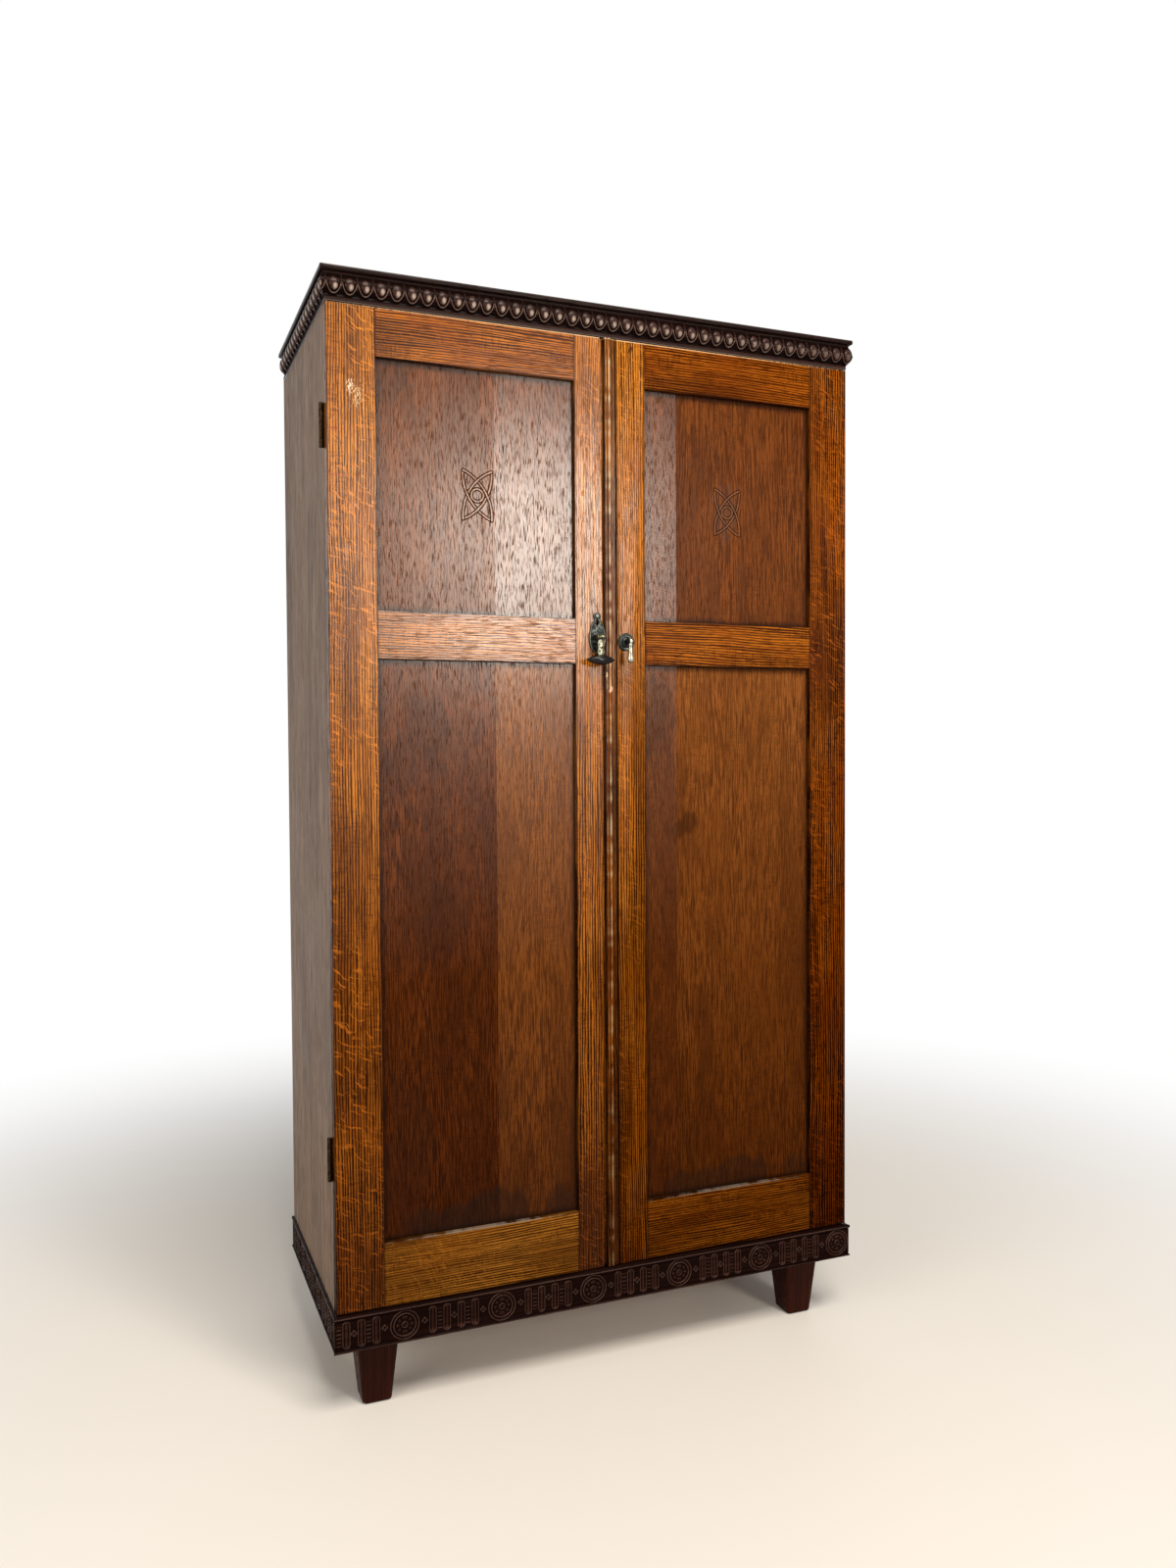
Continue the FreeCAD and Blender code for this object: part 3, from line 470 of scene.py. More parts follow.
        # The polish, thin at the foot and the head, in hollows and over open pores.
        rough = add("MapRange", {
            0: patch, 1: 0.35, 2: 0.65, 3: self.roughness - 0.02, 4: self.roughness + 0.02})
        rough = add("Math", {0: pores, 1: 0.14, 2: rough}, operation="MULTIPLY_ADD")
        hills = add("Math", {0: pores, 1: -1.0, 2: streak}, operation="MULTIPLY_ADD")
        relief = add("Bump", {"Strength": 0.8, "Distance": self.relief_mm * MM, "Height": hills})
        polish = kept
        for by, start, end, low, high in (
                (height, 0.7, 1.25, self.foot_polish, 1.0),
                (height, 1.5, 1.78, self.gloss, self.gloss * self.head_polish),
                (crown, 0.25, 0.7, 0.2, 1.0),
                (pores, 0.0, 1.0, 1.0, self.pore_polish)):
            part = add("MapRange", {0: by, 1: start, 2: end, 3: low, 4: high})
            polish = add("Math", {0: polish, 1: part}, operation="MULTIPLY")
        surface = add("BsdfPrincipled", {
            "Base Color": colour, "Roughness": rough, "Normal": relief, "IOR": 1.5,
            "Specular IOR Level": polish})
        add("OutputMaterial", {"Surface": surface})
        return material

    def lines(self, add: Adder, wood: Source) -> Node:
        """Draw the even growth lines of sawn wood, which wander a little.

        Args:
            add: What adds a node.
            wood: Place in the log.

        Returns:
            A mask that rises and falls once in each line.
        """
        drift = add("Math", {0: WANDER.over(add, wood), 1: 10.0}, operation="MULTIPLY")
        across = add("SeparateXYZ", {0: wood}).outputs[1]
        turns = 2 * math.pi / (self.line_mm * MM)
        phase = add("Math", {0: across, 1: turns, 2: drift}, operation="MULTIPLY_ADD")
        return add("MapRange", {0: add("Math", {0: phase}, operation="SINE"), 1: -1.0, 2: 1.0})

    def spot(self, add: Adder, place: Node, mark: Mark) -> Node:
        """Find a mark on the front, broken up by a small noise.

        Args:
            add: What adds a node.
            place: The node that parts the object's x, y and z.
            mark: The mark.

        Returns:
            A mask of the mark.
        """
        x, z = (add("Math", {0: place.outputs[axis], 1: at * MM}, operation="SUBTRACT")
                for axis, at in ((0, mark.x), (2, mark.z)))
        flat = add("CombineXYZ", {0: x, 1: z})
        shrink = (1 / (mark.wide * MM), 1 / (mark.tall * MM), 0)
        shrunk = add("VectorMath", {0: flat, 1: shrink}, operation="MULTIPLY")
        ragged = Figure((mark.grain_mm, mark.grain_mm / 0.3, 1.0), 2.0).over(add, flat)
        wide = add("Math", {0: ragged, 1: mark.broken, 2: add("VectorMath", {0: shrunk}, operation="LENGTH")},
                   operation="MULTIPLY_ADD")
        edge = 0.6 + mark.broken / 2
        worn = add("MapRange", {0: wide, 1: edge, 2: edge + 0.3, 3: 1.0, 4: 0.0})
        front = add("MapRange", {0: place.outputs[1], 1: FRONT_Y + MM, 2: FRONT_Y - MM}, **SMOOTH)
        return add("Math", {0: worn, 1: front}, operation="MULTIPLY")

    def flecks(self, add: Adder, grain: Source) -> Node:
        """Draw ray flecks: short ribbons that lean across the grain, in drifts.

        Args:
            add: What adds a node.
            grain: Place in the log.

        Returns:
            A mask of the flecks.
        """
        push = add("Math", {0: FLECK_BEND.over(add, grain), 1: 14 * MM}, operation="MULTIPLY")
        bent = add("VectorMath", {0: grain, 1: add("CombineXYZ", {"X": push, "Y": push})}, operation="ADD")
        turned = add("VectorRotate", {"Vector": bent, "Angle": math.radians(self.fleck_lean)},
                     rotation_type="Z_AXIS")
        ribbon = Figure((self.fleck_length_mm, self.fleck_mm, 12.0), 1.0, (0.58, 0.67)).over(add, turned)
        return add("Math", {0: ribbon, 1: FLECK_DRIFTS.over(add, grain)}, operation="MULTIPLY")

    def rim(self, add: Adder, patch: Node) -> Node:
        """Find the darkened margin of a board, uneven in width: dirt, and painted shade where a panel meets
        its frame.

        Args:
            add: What adds a node.
            patch: A soft noise that varies the width.

        Returns:
            A mask, full on the board's edge.
        """
        near, far = (add("SeparateXYZ", {0: add("Attribute", attribute_name=layer).outputs["Vector"]})
                     for layer in ("near", "far"))
        ends, edges = (add("Math", {0: near.outputs[axis], 1: far.outputs[axis]}, operation="MINIMUM")
                       for axis in (0, 1))
        least = add("Math", {0: ends, 1: edges}, operation="MINIMUM")
        width = add("Math", {0: patch, 1: 2 * self.grime_width_mm * MM}, operation="MULTIPLY")
        return add("MapRange", {0: least, 1: 0.0, 2: width, 3: 1.0, 4: 0.0}, **SMOOTH)


@dataclass(frozen=True)
class MetalFinish:
    """A worked metal: pale on its crests, where hands rub it and where its crowns paint a highlight, darkened
    in its hollows as tarnish and painted shade, and dull and spotted elsewhere.
    """

    name: str
    bright: str
    dull: str
    roughness: float = 0.34
    # Wear and painted highlight, laid on crests.
    rubbed: str = "#c8b48c"
    wear_mm: float = 4.0
    dull_share: float = 0.6
    relief_mm: float = 0.05
    grit_mm: float = 0.6
    # Tarnish and painted shade, laid in hollows.
    grime: str = "#070605"
    rubbed_share: float = 0.7

    @cache
    def material(self) -> bpy.types.Material:
        """Build the finish as shader nodes, once.

        Returns:
            The material.
        """
        material = bpy.data.materials.new(self.name)
        add = wiring(material)
        place = add("TexCoord").outputs["Object"]
        stain = add("TexNoise", {"Vector": place, "Scale": 1 / (self.wear_mm * MM), "Detail": 3.0})
        speck = add("TexNoise", {"Vector": place, "Scale": 1 / (self.grit_mm * MM), "Detail": 2.0})
        mask = add("MapRange", {0: stain, 1: 0.40, 2: 0.64, 4: self.dull_share}, **SMOOTH)
        crown = add("Attribute", attribute_name="crown").outputs["Fac"]
        hollow = add("MapRange", {0: crown, 1: 0.15, 2: 0.6, 3: 0.95, 4: 0.0})
        crest = add("MapRange", {0: crown, 1: 0.75, 2: 1.0})
        colour = coats(add, linear(self.bright), (
            (mask, 1.0, self.dull), (hollow, 1.0, self.grime), (crest, self.rubbed_share, self.rubbed)))
        rough = add("Math", {0: mask, 1: 0.28, 2: self.roughness}, operation="MULTIPLY_ADD")
        relief = add("Bump", {"Strength": 0.5, "Distance": self.relief_mm * MM, "Height": speck})
        surface = add("BsdfPrincipled", {
            "Base Color": colour, "Metallic": 1.0, "Roughness": rough, "Normal": relief})
        add("OutputMaterial", {"Surface": surface})
        return material


# Chips and lines on the frame: a worn patch, the bright lines along the door tops and the ledges, which are
# painted highlight with some wear and dust, old hinge stains and key wear.
WEAR = (
    Mark(-441, 1648, 4.2, 7.0, "#f2e0c6", 0.65, 1.9, 9.0),
    Mark(-430, 1634, 5.0, 9.0, "#efd0a0", 0.4, 2.1, 13.0),
    # Painted highlight with some wear: a bright line along the door tops' arris.
    Mark(-6, 1774.9, 560, 1.7, "#dcb488", 0.65, 6.0, 1.0),
    # Painted highlight with dust: bright lines along the bottom rails' ledges.
    Mark(-232, 281.4, 168, 1.5, "#8f8478", 0.5, 30.0, 1.6),
    Mark(234, 281.4, 166, 1.5, "#8f8478", 0.4, 30.0, 1.6),
    Mark(40.8, 1762, 5, 8, "#3a1a08", 0.8, 3.0),
    Mark(-45.3, 1314.6, 1.2, 7, "#2a1206", 0.8, 3.0),
    Mark(-466, 1580, 16, 2.0, "#7c2c12", 0.6, 6.0),
    Mark(-466, 1508, 16, 2.0, "#7c2c12", 0.5, 6.0),
    Mark(1.5, 1179, 4.5, 7, "#e9b79c", 0.85, 3.0),
    Mark(-7.0, 1203, 1.6, 7, "#e8d5b4", 0.8, 2.0),
)
# Darker patches on the panels, and dust round the right knot.
SOIL = (
    Mark(-330, 1080, 70, 110, "#2b1409", 0.4, 40.0),
    Mark(-300, 780, 60, 90, "#2b1409", 0.35, 40.0),
    Mark(-360, 420, 60, 160, "#2b1409", 0.35, 40.0),
    Mark(-232, 300, 190, 40, "#1c120d", 0.55, 60.0),
    Mark(234, 300, 190, 34, "#1c120d", 0.5, 60.0),
    Mark(95, 1120, 45, 110, "#241107", 0.3, 30.0),
    Mark(150, 940, 30, 26, "#241107", 0.45, 20.0),
    Mark(-390, 1660, 60, 60, "#2e1d14", 0.4, 40.0),
    Mark(229, 1498.5, 30, 52, "#54433a", 0.25, 9.0),
)
# Sawn towards the log's heart, so that pale ray flecks cross straight dark lines, then stained and
# French polished. Its flecks are drawn a little coarser than real ones, or they wouldn't show.
FRAME_OAK = OakFinish(
    "quarter-sawn oak, golden brown polish", "#482306", "#925010", "#c47d28", "#d8862f", pore="#321706",
    rubbed="#d9c6a2", rubbed_share=0.8, streak_mm=4.2, line_mm=4.4, line_share=0.66, pore_share=0.55,
    fleck_mm=4.0, fleck_length_mm=24.0, fleck_share=0.65, foot_value=0.28, roughness=0.25, gloss=0.4,
    relief_mm=0.05, marks=WEAR)
# Sawn straight through the log, so that short open pores show and few rays, with a darker stain under
# a full polish that mirrors the lamps softly.
PANEL_OAK = OakFinish(
    "plain-sawn oak, red-brown polish", "#4c280f", "#623512", "#764219", "#8d5a2c", pore="#2e1507",
    rubbed="#a88a74", fleck_share=0.1, cross_share=0.35, streak_mm=1.9, streak_length_mm=46.0, line_mm=3.8,
    line_share=0.3, pore_mm=1.4, pore_length_mm=16.0, pore_share=0.4, grime_width_mm=12.0, grime_share=0.8,
    roughness=0.25, gloss=0.48, foot_value=0.42, foot_polish=0.05, pore_polish=0.25, relief_mm=0.015,
    marks=SOIL)
# Planed and given one thin coat, so it looks drab and nearly dull, with long faint streaks.
SIDE_OAK = OakFinish(
    "straight-grained oak, thin brown polish", "#4a382c", "#6b5646", "#86705d", "#947d66", pore="#38291e",
    fleck_share=0.1, cross_share=0.1, streak_mm=4.0, streak_length_mm=340.0, line_mm=5.0, pore_mm=1.8,
    pore_length_mm=40.0, pore_share=0.45, grime_share=0.3, roughness=0.5, gloss=0.1, foot_polish=1.0,
    head_polish=1.0)
# Cut with gouges and stained nearly black; the stain pools in the hollows and is rubbed off the crests, and
# its crowns also paint highlights on the eggs and shade in the creases.
CARVED_OAK = OakFinish(
    "carved oak, blackened stain", "#22100b", "#2c1812", "#372019", "#3e251c", grime="#060202",
    pore="#160805", rubbed="#b3a195", fleck_share=0.1, cross_share=0.1, pore_share=0.3, rubbed_share=0.9, line_share=0.2,
    roughness=0.26, gloss=0.13, foot_polish=0.35, head_polish=1.0, relief_mm=0.02)
# Sawn to a taper and stained dark red, which leaves an even, deep colour with little shine.
FOOT_OAK = OakFinish(
    "turned-square oak, mahogany stain", "#1a0502", "#260903", "#341106", "#3c1b0d", fleck_share=0.1,
    cross_share=0.2, roughness=0.36, gloss=0.1, foot_polish=0.6)
# Planed and left bare, so it is pale and matt, with wide soft growth bands.
INSIDE_PINE = OakFinish(
    "planed softwood, bare", "#8a6740", "#a98356", "#bd9a6c", "#bd9a6c", pore="#6b4a2a", grime="#5a4128",
    fleck_share=0.0, cross_share=0.05, streak_mm=9.0, line_mm=9.0, pore_share=0.3, roughness=0.62)
# Peeled from the log and pressed, so its figure is broad; bare and greyed by dust.
BACK_PLY = OakFinish(
    "thin back board, bare", "#7c5d3c", "#98764f", "#a98862", "#a98862", pore="#5d4226", grime="#463220",
    fleck_share=0.0, cross_share=0.1, streak_mm=12.0, line_mm=14.0, pore_share=0.3, roughness=0.68)
# Turned, blackened and polished, so that it is black with a sharp highlight.
EBONISED = OakFinish(
    "ebonised hardwood, rubbed polish", "#040202", "#070504", "#0e0907", "#120c09", pore="#020101",
    fleck_share=0.0, roughness=0.18, gloss=0.25)
# Rolled sheet and bar, tarnished to a soft brown yellow. The grit of every metal here is drawn coarser
# than a file or a cloth leaves it, or it wouldn't show.
OLD_BRASS = MetalFinish("rolled brass, dulled", "#8d7340", "#4a3b20", 0.38)
# Rolled sheet, chemically blackened, so that only its edges show brass.
HINGE_BRASS = MetalFinish("rolled brass, blackened", "#38291c", "#15100b", 0.45, dull_share=0.85)
# Cast and worn by hands, pale and bright on the rounds, as wear and as painted highlight, and dark in
# patches.
PULL_BRASS = MetalFinish("cast brass, pale and patchy", "#8d8a70", "#23221a", 0.24, "#e6e4d4", 3.0, 0.85)
# Pressed from sheet and bronzed: a cold dark skin with rubbed rims.
DARK_BRONZE = MetalFinish("pressed brass, bronzed", "#3b3f3d", "#181a19", 0.3, "#a3a698", dull_share=0.7)
# Filed steel that has gone dull and grey.
LOCK_STEEL = MetalFinish("mild steel, dull", "#8b8781", "#4a4540", 0.42)


@dataclass
class Run:
    """One side of a moulding that goes round the case and is mitred at the front corners.

    Lengths are measured along the run, outward from the face that it covers, and up.
    """

    side: int
    half_width: float
    face: float
    back: float

    @property
    def cut(self) -> Cut:
        """The way that the grain of this run goes."""
        return Cut.LEVEL if self.side == 0 else Cut.RETURN

    @property
    def label(self) -> str:
        """The run's name in the node names."""
        return {0: "front", -1: "left", 1: "right"}[self.side]

    def place(self, spots: np.ndarray) -> np.ndarray:
        """Turn along, outward and up into the scene's axes.

        Args:
            spots: Rows of along, outward and up, in metres.

        Returns:
            Rows of x, y and z.
        """
        along, out, up = spots[:, 0], spots[:, 1], spots[:, 2]
        if self.side == 0:
            limit = self.half_width + out
            return np.stack([np.clip(along, -limit, limit), self.face - out, up], axis=1)
        depth = np.clip(self.face - along, self.face - out, self.back)
        return np.stack([self.side * (self.half_width + out), depth, up], axis=1)

    def sweep(self, profile: Sequence[Triple]) -> Carved:
        """Carry a closed profile along the run, mitred where it meets the next.

        Args:
            profile: Outward and up in metres, and crown, round the section.

        Returns:
            Corners, faces and crown values.
        """
        count = len(profile)
        if self.side == 0:
            rows = [(sign * (self.half_width + out), out, up) for sign in (-1, 1) for out, up, _ in profile]
        else:
            rows = [(self.face - self.back, out, up) for out, up, _ in profile]
            rows += [(out, out, up) for out, up, _ in profile]
        faces = [(i, (i + 1) % count, count + (i + 1) % count, count + i) for i in range(count)]
        faces += [tuple(range(count))[::-1], tuple(range(count, 2 * count))]
        points, faces = outward(self.place(np.array(rows)), faces)
        return points, faces, np.array([crown for _, _, crown in profile] * 2)

    def settle(self, spots: np.ndarray, faces: Faces, crown: np.ndarray) -> Carved:
        """Put a flat row of carving on the run, and drop what the mitre cuts away.

        Args:
            spots: Rows of along, outward and up.
            faces: Faces of the row.
            crown: Crown values of its corners.

        Returns:
            Corners, faces and crown values.
        """
        placed = self.place(spots)
        kept = []
        for face in faces:
            a, b, c, d = placed[list(face[:4])]
            if np.linalg.norm(np.cross(c - a, d - b)) > 1e-10:
                kept.append(face if self.side != 1 else face[::-1])
        return placed, kept, crown


def outward(points: np.ndarray, faces: Faces) -> Shape:
    """Turn a closed shape's faces outward, with its corners in the same order.

    Args:
        points: Corners in metres.
        faces: Faces as runs of corner numbers.

    Returns:
        Corners and faces.
    """
    shape = bmesh.new()
    verts = [shape.verts.new(point) for point in points]
    for face in faces:
        shape.faces.new([verts[index] for index in face])
    bmesh.ops.recalc_face_normals(shape, faces=shape.faces[:])
    return taken(shape)


def grid_faces(columns: int, rows: int) -> Faces:
    """Give the faces of a grid that is stored row by row."""
    corners = [row * columns + column for row in range(rows - 1) for column in range(columns - 1)]
    return [(corner, corner + 1, corner + columns + 1, corner + columns) for corner in corners]


def named_tree(name: str, sockets: dict[str, str]) -> bpy.types.GeometryNodeTree:
    """Start a Geometry Nodes tree that gives one geometry.

    Args:
        name: The tree's name.
        sockets: Each input's name, and its socket's kind.

    Returns:
        The tree.
    """
    tree = bpy.data.node_groups.new(name, "GeometryNodeTree")
    tree.interface.new_socket("Geometry", in_out="OUTPUT", socket_type="NodeSocketGeometry")
    for label, kind in sockets.items():
        tree.interface.new_socket(label, in_out="INPUT", socket_type="NodeSocket" + kind)
    return tree


def laid_out(tree: bpy.types.GeometryNodeTree, base: bpy.types.Mesh, unit: bpy.types.Object,
             values: dict[str, object]) -> bpy.types.Mesh:
    """Run a tree on a mesh and take the result as a plain mesh.

    Args:
        tree: The node tree.
        base: The mesh that it starts from.
        unit: The object that it repeats, which is removed afterwards.
        values: Each input's value, by the input's name.

    Returns:
        The mesh.
    """
    holder = bpy.data.objects.new(base.name, base)
    for used in (holder, unit):
        bpy.context.scene.collection.objects.link(used)
    modifier = holder.modifiers.new(tree.name, "NODES")
    modifier.node_group = tree
    sockets = {item.name: item.identifier for item in tree.interface.items_tree if item.in_out == "INPUT"}
    for label, value in values.items():
        modifier[sockets[label]] = value
    bpy.context.view_layer.update()
    made = bpy.data.meshes.new_from_object(holder.evaluated_get(bpy.context.evaluated_depsgraph_get()))
    holder.modifiers.remove(modifier)
    for used in (holder, unit):
        bpy.data.objects.remove(used)
    return made


@dataclass
class CarvedBand:
    """A band of carving that repeats a unit along a run, laid out by Geometry Nodes.

    Its pitch is a unit's length in millimetres, with a grid of columns and rows on it. Relief gives
    height in millimetres and crown at a place along and share up, and ground gives outward and up
    at a share up and a height.
    """

    name: str
    pitch: float
    columns: int
    rows: int
    relief: Relief
    ground: Relief

    def unit(self) -> bpy.types.Object:
        """Make one unit of the carving, lying along x with y outward.

        Returns:
            An object that only the node tree uses.
        """
        along, share = np.meshgrid(np.linspace(0, self.pitch, self.columns), np.linspace(0, 1, self.rows))
        height, crown = self.relief(along.ravel(), share.ravel())
        out, up = self.ground(share.ravel(), height)
        mesh = bpy.data.meshes.new(self.name + "_unit")
        mesh.from_pydata((np.stack([along.ravel(), out, up], axis=1) * MM).tolist(), [],
                         grid_faces(self.columns, self.rows))
        store(mesh, "crown", crown)
        return bpy.data.objects.new(self.name + "_unit", mesh)

    def tree(self) -> bpy.types.GeometryNodeTree:
        """Build the node tree that lays units end to end.

        Returns:
            The tree, with the inputs Unit, Count, Pitch, Start and Finish.
        """
        tree = named_tree(self.name + "_row", {
            "Unit": "Object", "Count": "Int", "Pitch": "Float", "Start": "Float", "Finish": "Material"})
        add = partial(add_node, tree)
        given = add("NodeGroupInput").outputs
        row = add("GeometryNodeMeshLine", {
            "Count": given["Count"], "Start Location": add("CombineXYZ", {0: given["Start"]}),
            "Offset": add("CombineXYZ", {0: given["Pitch"]})})
        unit = add("GeometryNodeObjectInfo", {"Object": given["Unit"]}).outputs["Geometry"]
        laid = add("GeometryNodeInstanceOnPoints", {"Points": row, "Instance": unit})
        joined = add("GeometryNodeMergeByDistance", {
            "Geometry": add("GeometryNodeRealizeInstances", {0: laid}), "Distance": 0.01 * MM})
        dressed = add("GeometryNodeSetMaterial", {"Geometry": joined, "Material": given["Finish"]})
        add("NodeGroupOutput", {0: dressed})
        return tree

    def row(self, count: int, start: float) -> Carved:
        """Lay out a row of units and take its plain mesh.

        Args:
            count: How many units.
            start: Where the first begins, in millimetres.

        Returns:
            Rows of along, outward and up in metres, faces, and the carving's crown values.
        """
        base = bpy.data.meshes.new(self.name + "_holder")
        unit = self.unit()
        made = laid_out(self.tree(), base, unit, {
            "Unit": unit, "Count": count, "Pitch": self.pitch * MM, "Start": start * MM,
            "Finish": CARVED_OAK.material()})
        spots = np.empty(len(made.vertices) * 3)
        made.vertices.foreach_get("co", spots)
        crown = np.empty(len(made.vertices))
        made.attributes["crown"].data.foreach_get("value", crown)
        return spots.reshape(-1, 3), [tuple(polygon.vertices) for polygon in made.polygons], crown


@dataclass
class Course:
    """A carved course round the case: three mitred runs and a plain back rail, in millimetres."""

    name: str
    seed: int
    rail_seed: int
    front_projection: float
    side_projection: float
    thickness: float

    def build(self) -> None:
        """Make the three carved runs and the plain back rail."""
        low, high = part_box(f"{self.name}_front")
        self.bottom = low[2] / MM
        self.tall = (high[2] - low[2]) / MM
        half_width = high[0] - self.side_projection * MM
        face = low[1] + self.front_projection * MM
        for side in (0, -1, 1):
            self.run(Run(side, half_width, face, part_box(f"{self.name}_left")[1][1]))
        rail = Joinery()
        rail.add(*cad_shape(f"{self.name}_back", 0.6), plank=Plank(Cut.LEVEL, self.rail_seed))
        rail.fit(f"{self.name}_back_rail", "case", "back_board", BACK_PLY, f"{self.name}_back")

    def lay(self, run: Run, profile: list[Triple], band: CarvedBand, count: int, start: float) -> None:
        """Make one run: a swept moulding with a row of carving on it.

        Args:
            run: The run.
            profile: Outward and up in millimetres, and crown, round the section.
            band: The carving.
            count: How many units of it.
            start: Where the first begins, in millimetres.
        """
        joined = Joinery()
        plank = Plank(run.cut, self.seed + run.side)
        section = [(out * MM, (self.bottom + up) * MM, crown) for out, up, crown in profile]
        joined.add(*run.sweep(section), plank)
        placed, kept, crown = run.settle(*band.row(count, start))
        joined.add(placed, kept, self.rubbed(placed, crown), plank)
        node = f"{self.name}_{run.label}"
        joined.fit(node + "_carved", "case", "dark_oak", CARVED_OAK, node, 50)

    def run(self, run: Run) -> None:
        """Make one side, which each course carves in its own way."""
        raise NotImplementedError

    def rubbed(self, placed: np.ndarray, crown: np.ndarray) -> np.ndarray:
        """Give the carving's crown where it stands."""
        return crown


@dataclass
class Cornice(Course):
    """The cornice: a cap board over an ovolo that is carved with eggs and darts."""

    name: str = "cornice"
    seed: int = 11
    rail_seed: int = 8
    front_projection: float = 9.0
    side_projection: float = 9.0
    thickness: float = 30.0
    height: float = 44.0
    fillet: float = 7.0
    neck: float = 3.5
    neck_height: float = 3.5
    foot_step: float = 0.8
    hidden: float = -4.0
    pitch: float = 24.83
    first_egg: float = -503.1
    units: int = 40
    side_units: int = 18
    egg: tuple[float, float] = (7.8, 11.8)
    shell: tuple[float, float] = (11.0, 15.2)
    arc: float = 37.0
    floor: float = -2.6

    def build(self) -> None:
        """Make the runs, the back rail and the cap."""
        super().build()
        cap = Joinery()
        points, faces = cad_shape("cap_board", 0.0)
        # Painted highlight and shade: the crown rises up the cap's edge, so that its top arris is pale and
        # its foot darkened.
        crown = np.interp(points[:, 2] / MM, (1821, 1824, 1829), (0.3, 0.45, 0.8))
        cap.add(points, faces, crown, Plank(Cut.FLAT, 3))
        cap.fit("cap_board_top", "case", "dark_oak", CARVED_OAK, "cap_board", 40)

    def run(self, run: Run) -> None:
        """Make one side of the cornice."""
        top = self.height - self.neck_height
        inner = self.front_projection - self.thickness
        # Painted shade: the fillet and the cove behind the carving get low crowns, which darken them under
        # the ovolo.
        profile = [(inner, 0, PLAIN), (0, 0, 0.88), (0, 1.8, 0.72), (0, self.fillet, 0.3),
                   (self.foot_step, self.fillet, 0.3), (self.hidden, self.fillet + 2, 0.3),
                   (self.hidden, top - 2, 0.3), (self.neck, top, 0.4), (self.neck, self.height, 0.6),
                   (inner, self.height, PLAIN)]
        band = CarvedBand("eggs", self.pitch, 43, 45, self.carving, self.ovolo)
        if run.side == 0:
            self.lay(run, profile, band, self.units, self.first_egg)
        else:
            start = self.front_projection - self.pitch * self.side_units
            self.lay(run, profile, band, self.side_units, start)

    def rubbed(self, placed: np.ndarray, crown: np.ndarray) -> np.ndarray:
        """Paint the crests' highlights dimmer towards the right."""
        return np.minimum(crown, np.interp(placed[:, 0], (-0.1, 0.45), (1.0, 0.78)))

    def ovolo(self, share: np.ndarray, height: np.ndarray) -> tuple[np.ndarray, np.ndarray]:
        """Lay carving heights on the ovolo's curve.

        Args:
            share: Share of the way up the curve.
            height: Height over the curve in millimetres.

        Returns:
            Outward and up in millimetres, up from the floor.
        """
        top = self.height - self.neck_height
        foot = np.array([self.foot_step, self.fillet])
        neck = np.array([self.neck, top])
        crest = np.array([self.front_projection, (self.fillet + top) / 2])
        centre, radius = circle_through(foot, crest, neck)
        first, last = (math.atan2(end[1] - centre[1], end[0] - centre[0]) for end in (foot, neck))
        turn = first + (last - first) * share
        reach = radius + height
        return centre[0] + reach * np.cos(turn), self.bottom + centre[1] + reach * np.sin(turn)

    def carving(self, along: np.ndarray, share: np.ndarray) -> tuple[np.ndarray, np.ndarray]:
        """Carve one egg in its shell, with half a dart at each end of the unit, and paint each egg's
        highlight and the shade in the creases through the crown.

        Args:
            along: Place along the unit in millimetres.
            share: Share of the way up the ovolo.

        Returns:
            Height over the ovolo in millimetres, and crown.
        """
        x = along - self.pitch / 2
        y = (share - 0.53) * self.arc
        narrow = 1.0 - 0.014 * np.clip(-y, 0, None)
        r = np.hypot(x / (self.egg[0] * narrow), y / self.egg[1])
        dome = np.sqrt(np.clip(1 - r ** 2, 0, None))
        egg = np.where(r < 1.0, -1.2 + 2.6 * dome, self.floor)
        shell = np.hypot(x / (self.shell[0] * narrow), y / self.shell[1])
        open_top = np.clip((y + 1.0) / 7.0, 0, 1)
        rim = round_line(np.abs(shell - 1.0) * self.shell[0], 1.6) * (1 - open_top)
        dart = round_line(self.pitch / 2 - np.abs(x), 1.1) * ((share > 0.3) & (shell > 1.06))
        height = np.maximum(np.maximum(egg, self.floor + 2.8 * rim), self.floor + 1.8 * dart)
        # Painted highlight: a soft pale spot low on each egg's right side, laid through its crown.
        shine = np.clip(1 - np.hypot((x - 2.2) / 5.2, (y + 4.6) / 6.6), 0, 1)
        crown = np.where(r < 1.0, 0.42 + 0.3 * np.clip(2 * dome, 0, 1) + 0.3 * shine, 0.12)
        crown = np.maximum(np.maximum(crown, 0.12 + 0.7 * rim), 0.12 + 0.62 * dart)
        # Painted shade: the carving's top and foot edges get a low crown, which darkens the creases along the
        # ovolo.
        lip = np.clip(np.minimum(share, 1 - share) / 0.04, 0, 1)
        return height * lip, np.where(lip < 1, 0.25, crown)


def round_line(gap: np.ndarray, half: float) -> np.ndarray:
    """Give the round section of a carved line, at a distance from its middle."""
    return np.sqrt(np.clip(1 - (gap / half) ** 2, 0, None))


def circle_through(a: np.ndarray, b: np.ndarray, c: np.ndarray) -> tuple[np.ndarray, float]:
    """Find the circle through three points in a plane.

    Args:
        a: First point.
        b: Second point.
        c: Third point.

    Returns:
        Its centre and its radius.
    """
    rows = np.array([b - a, c - a]) * 2
    centre = np.linalg.solve(rows, np.array([b @ b - a @ a, c @ c - a @ a]))
    return centre, float(np.linalg.norm(centre - a))


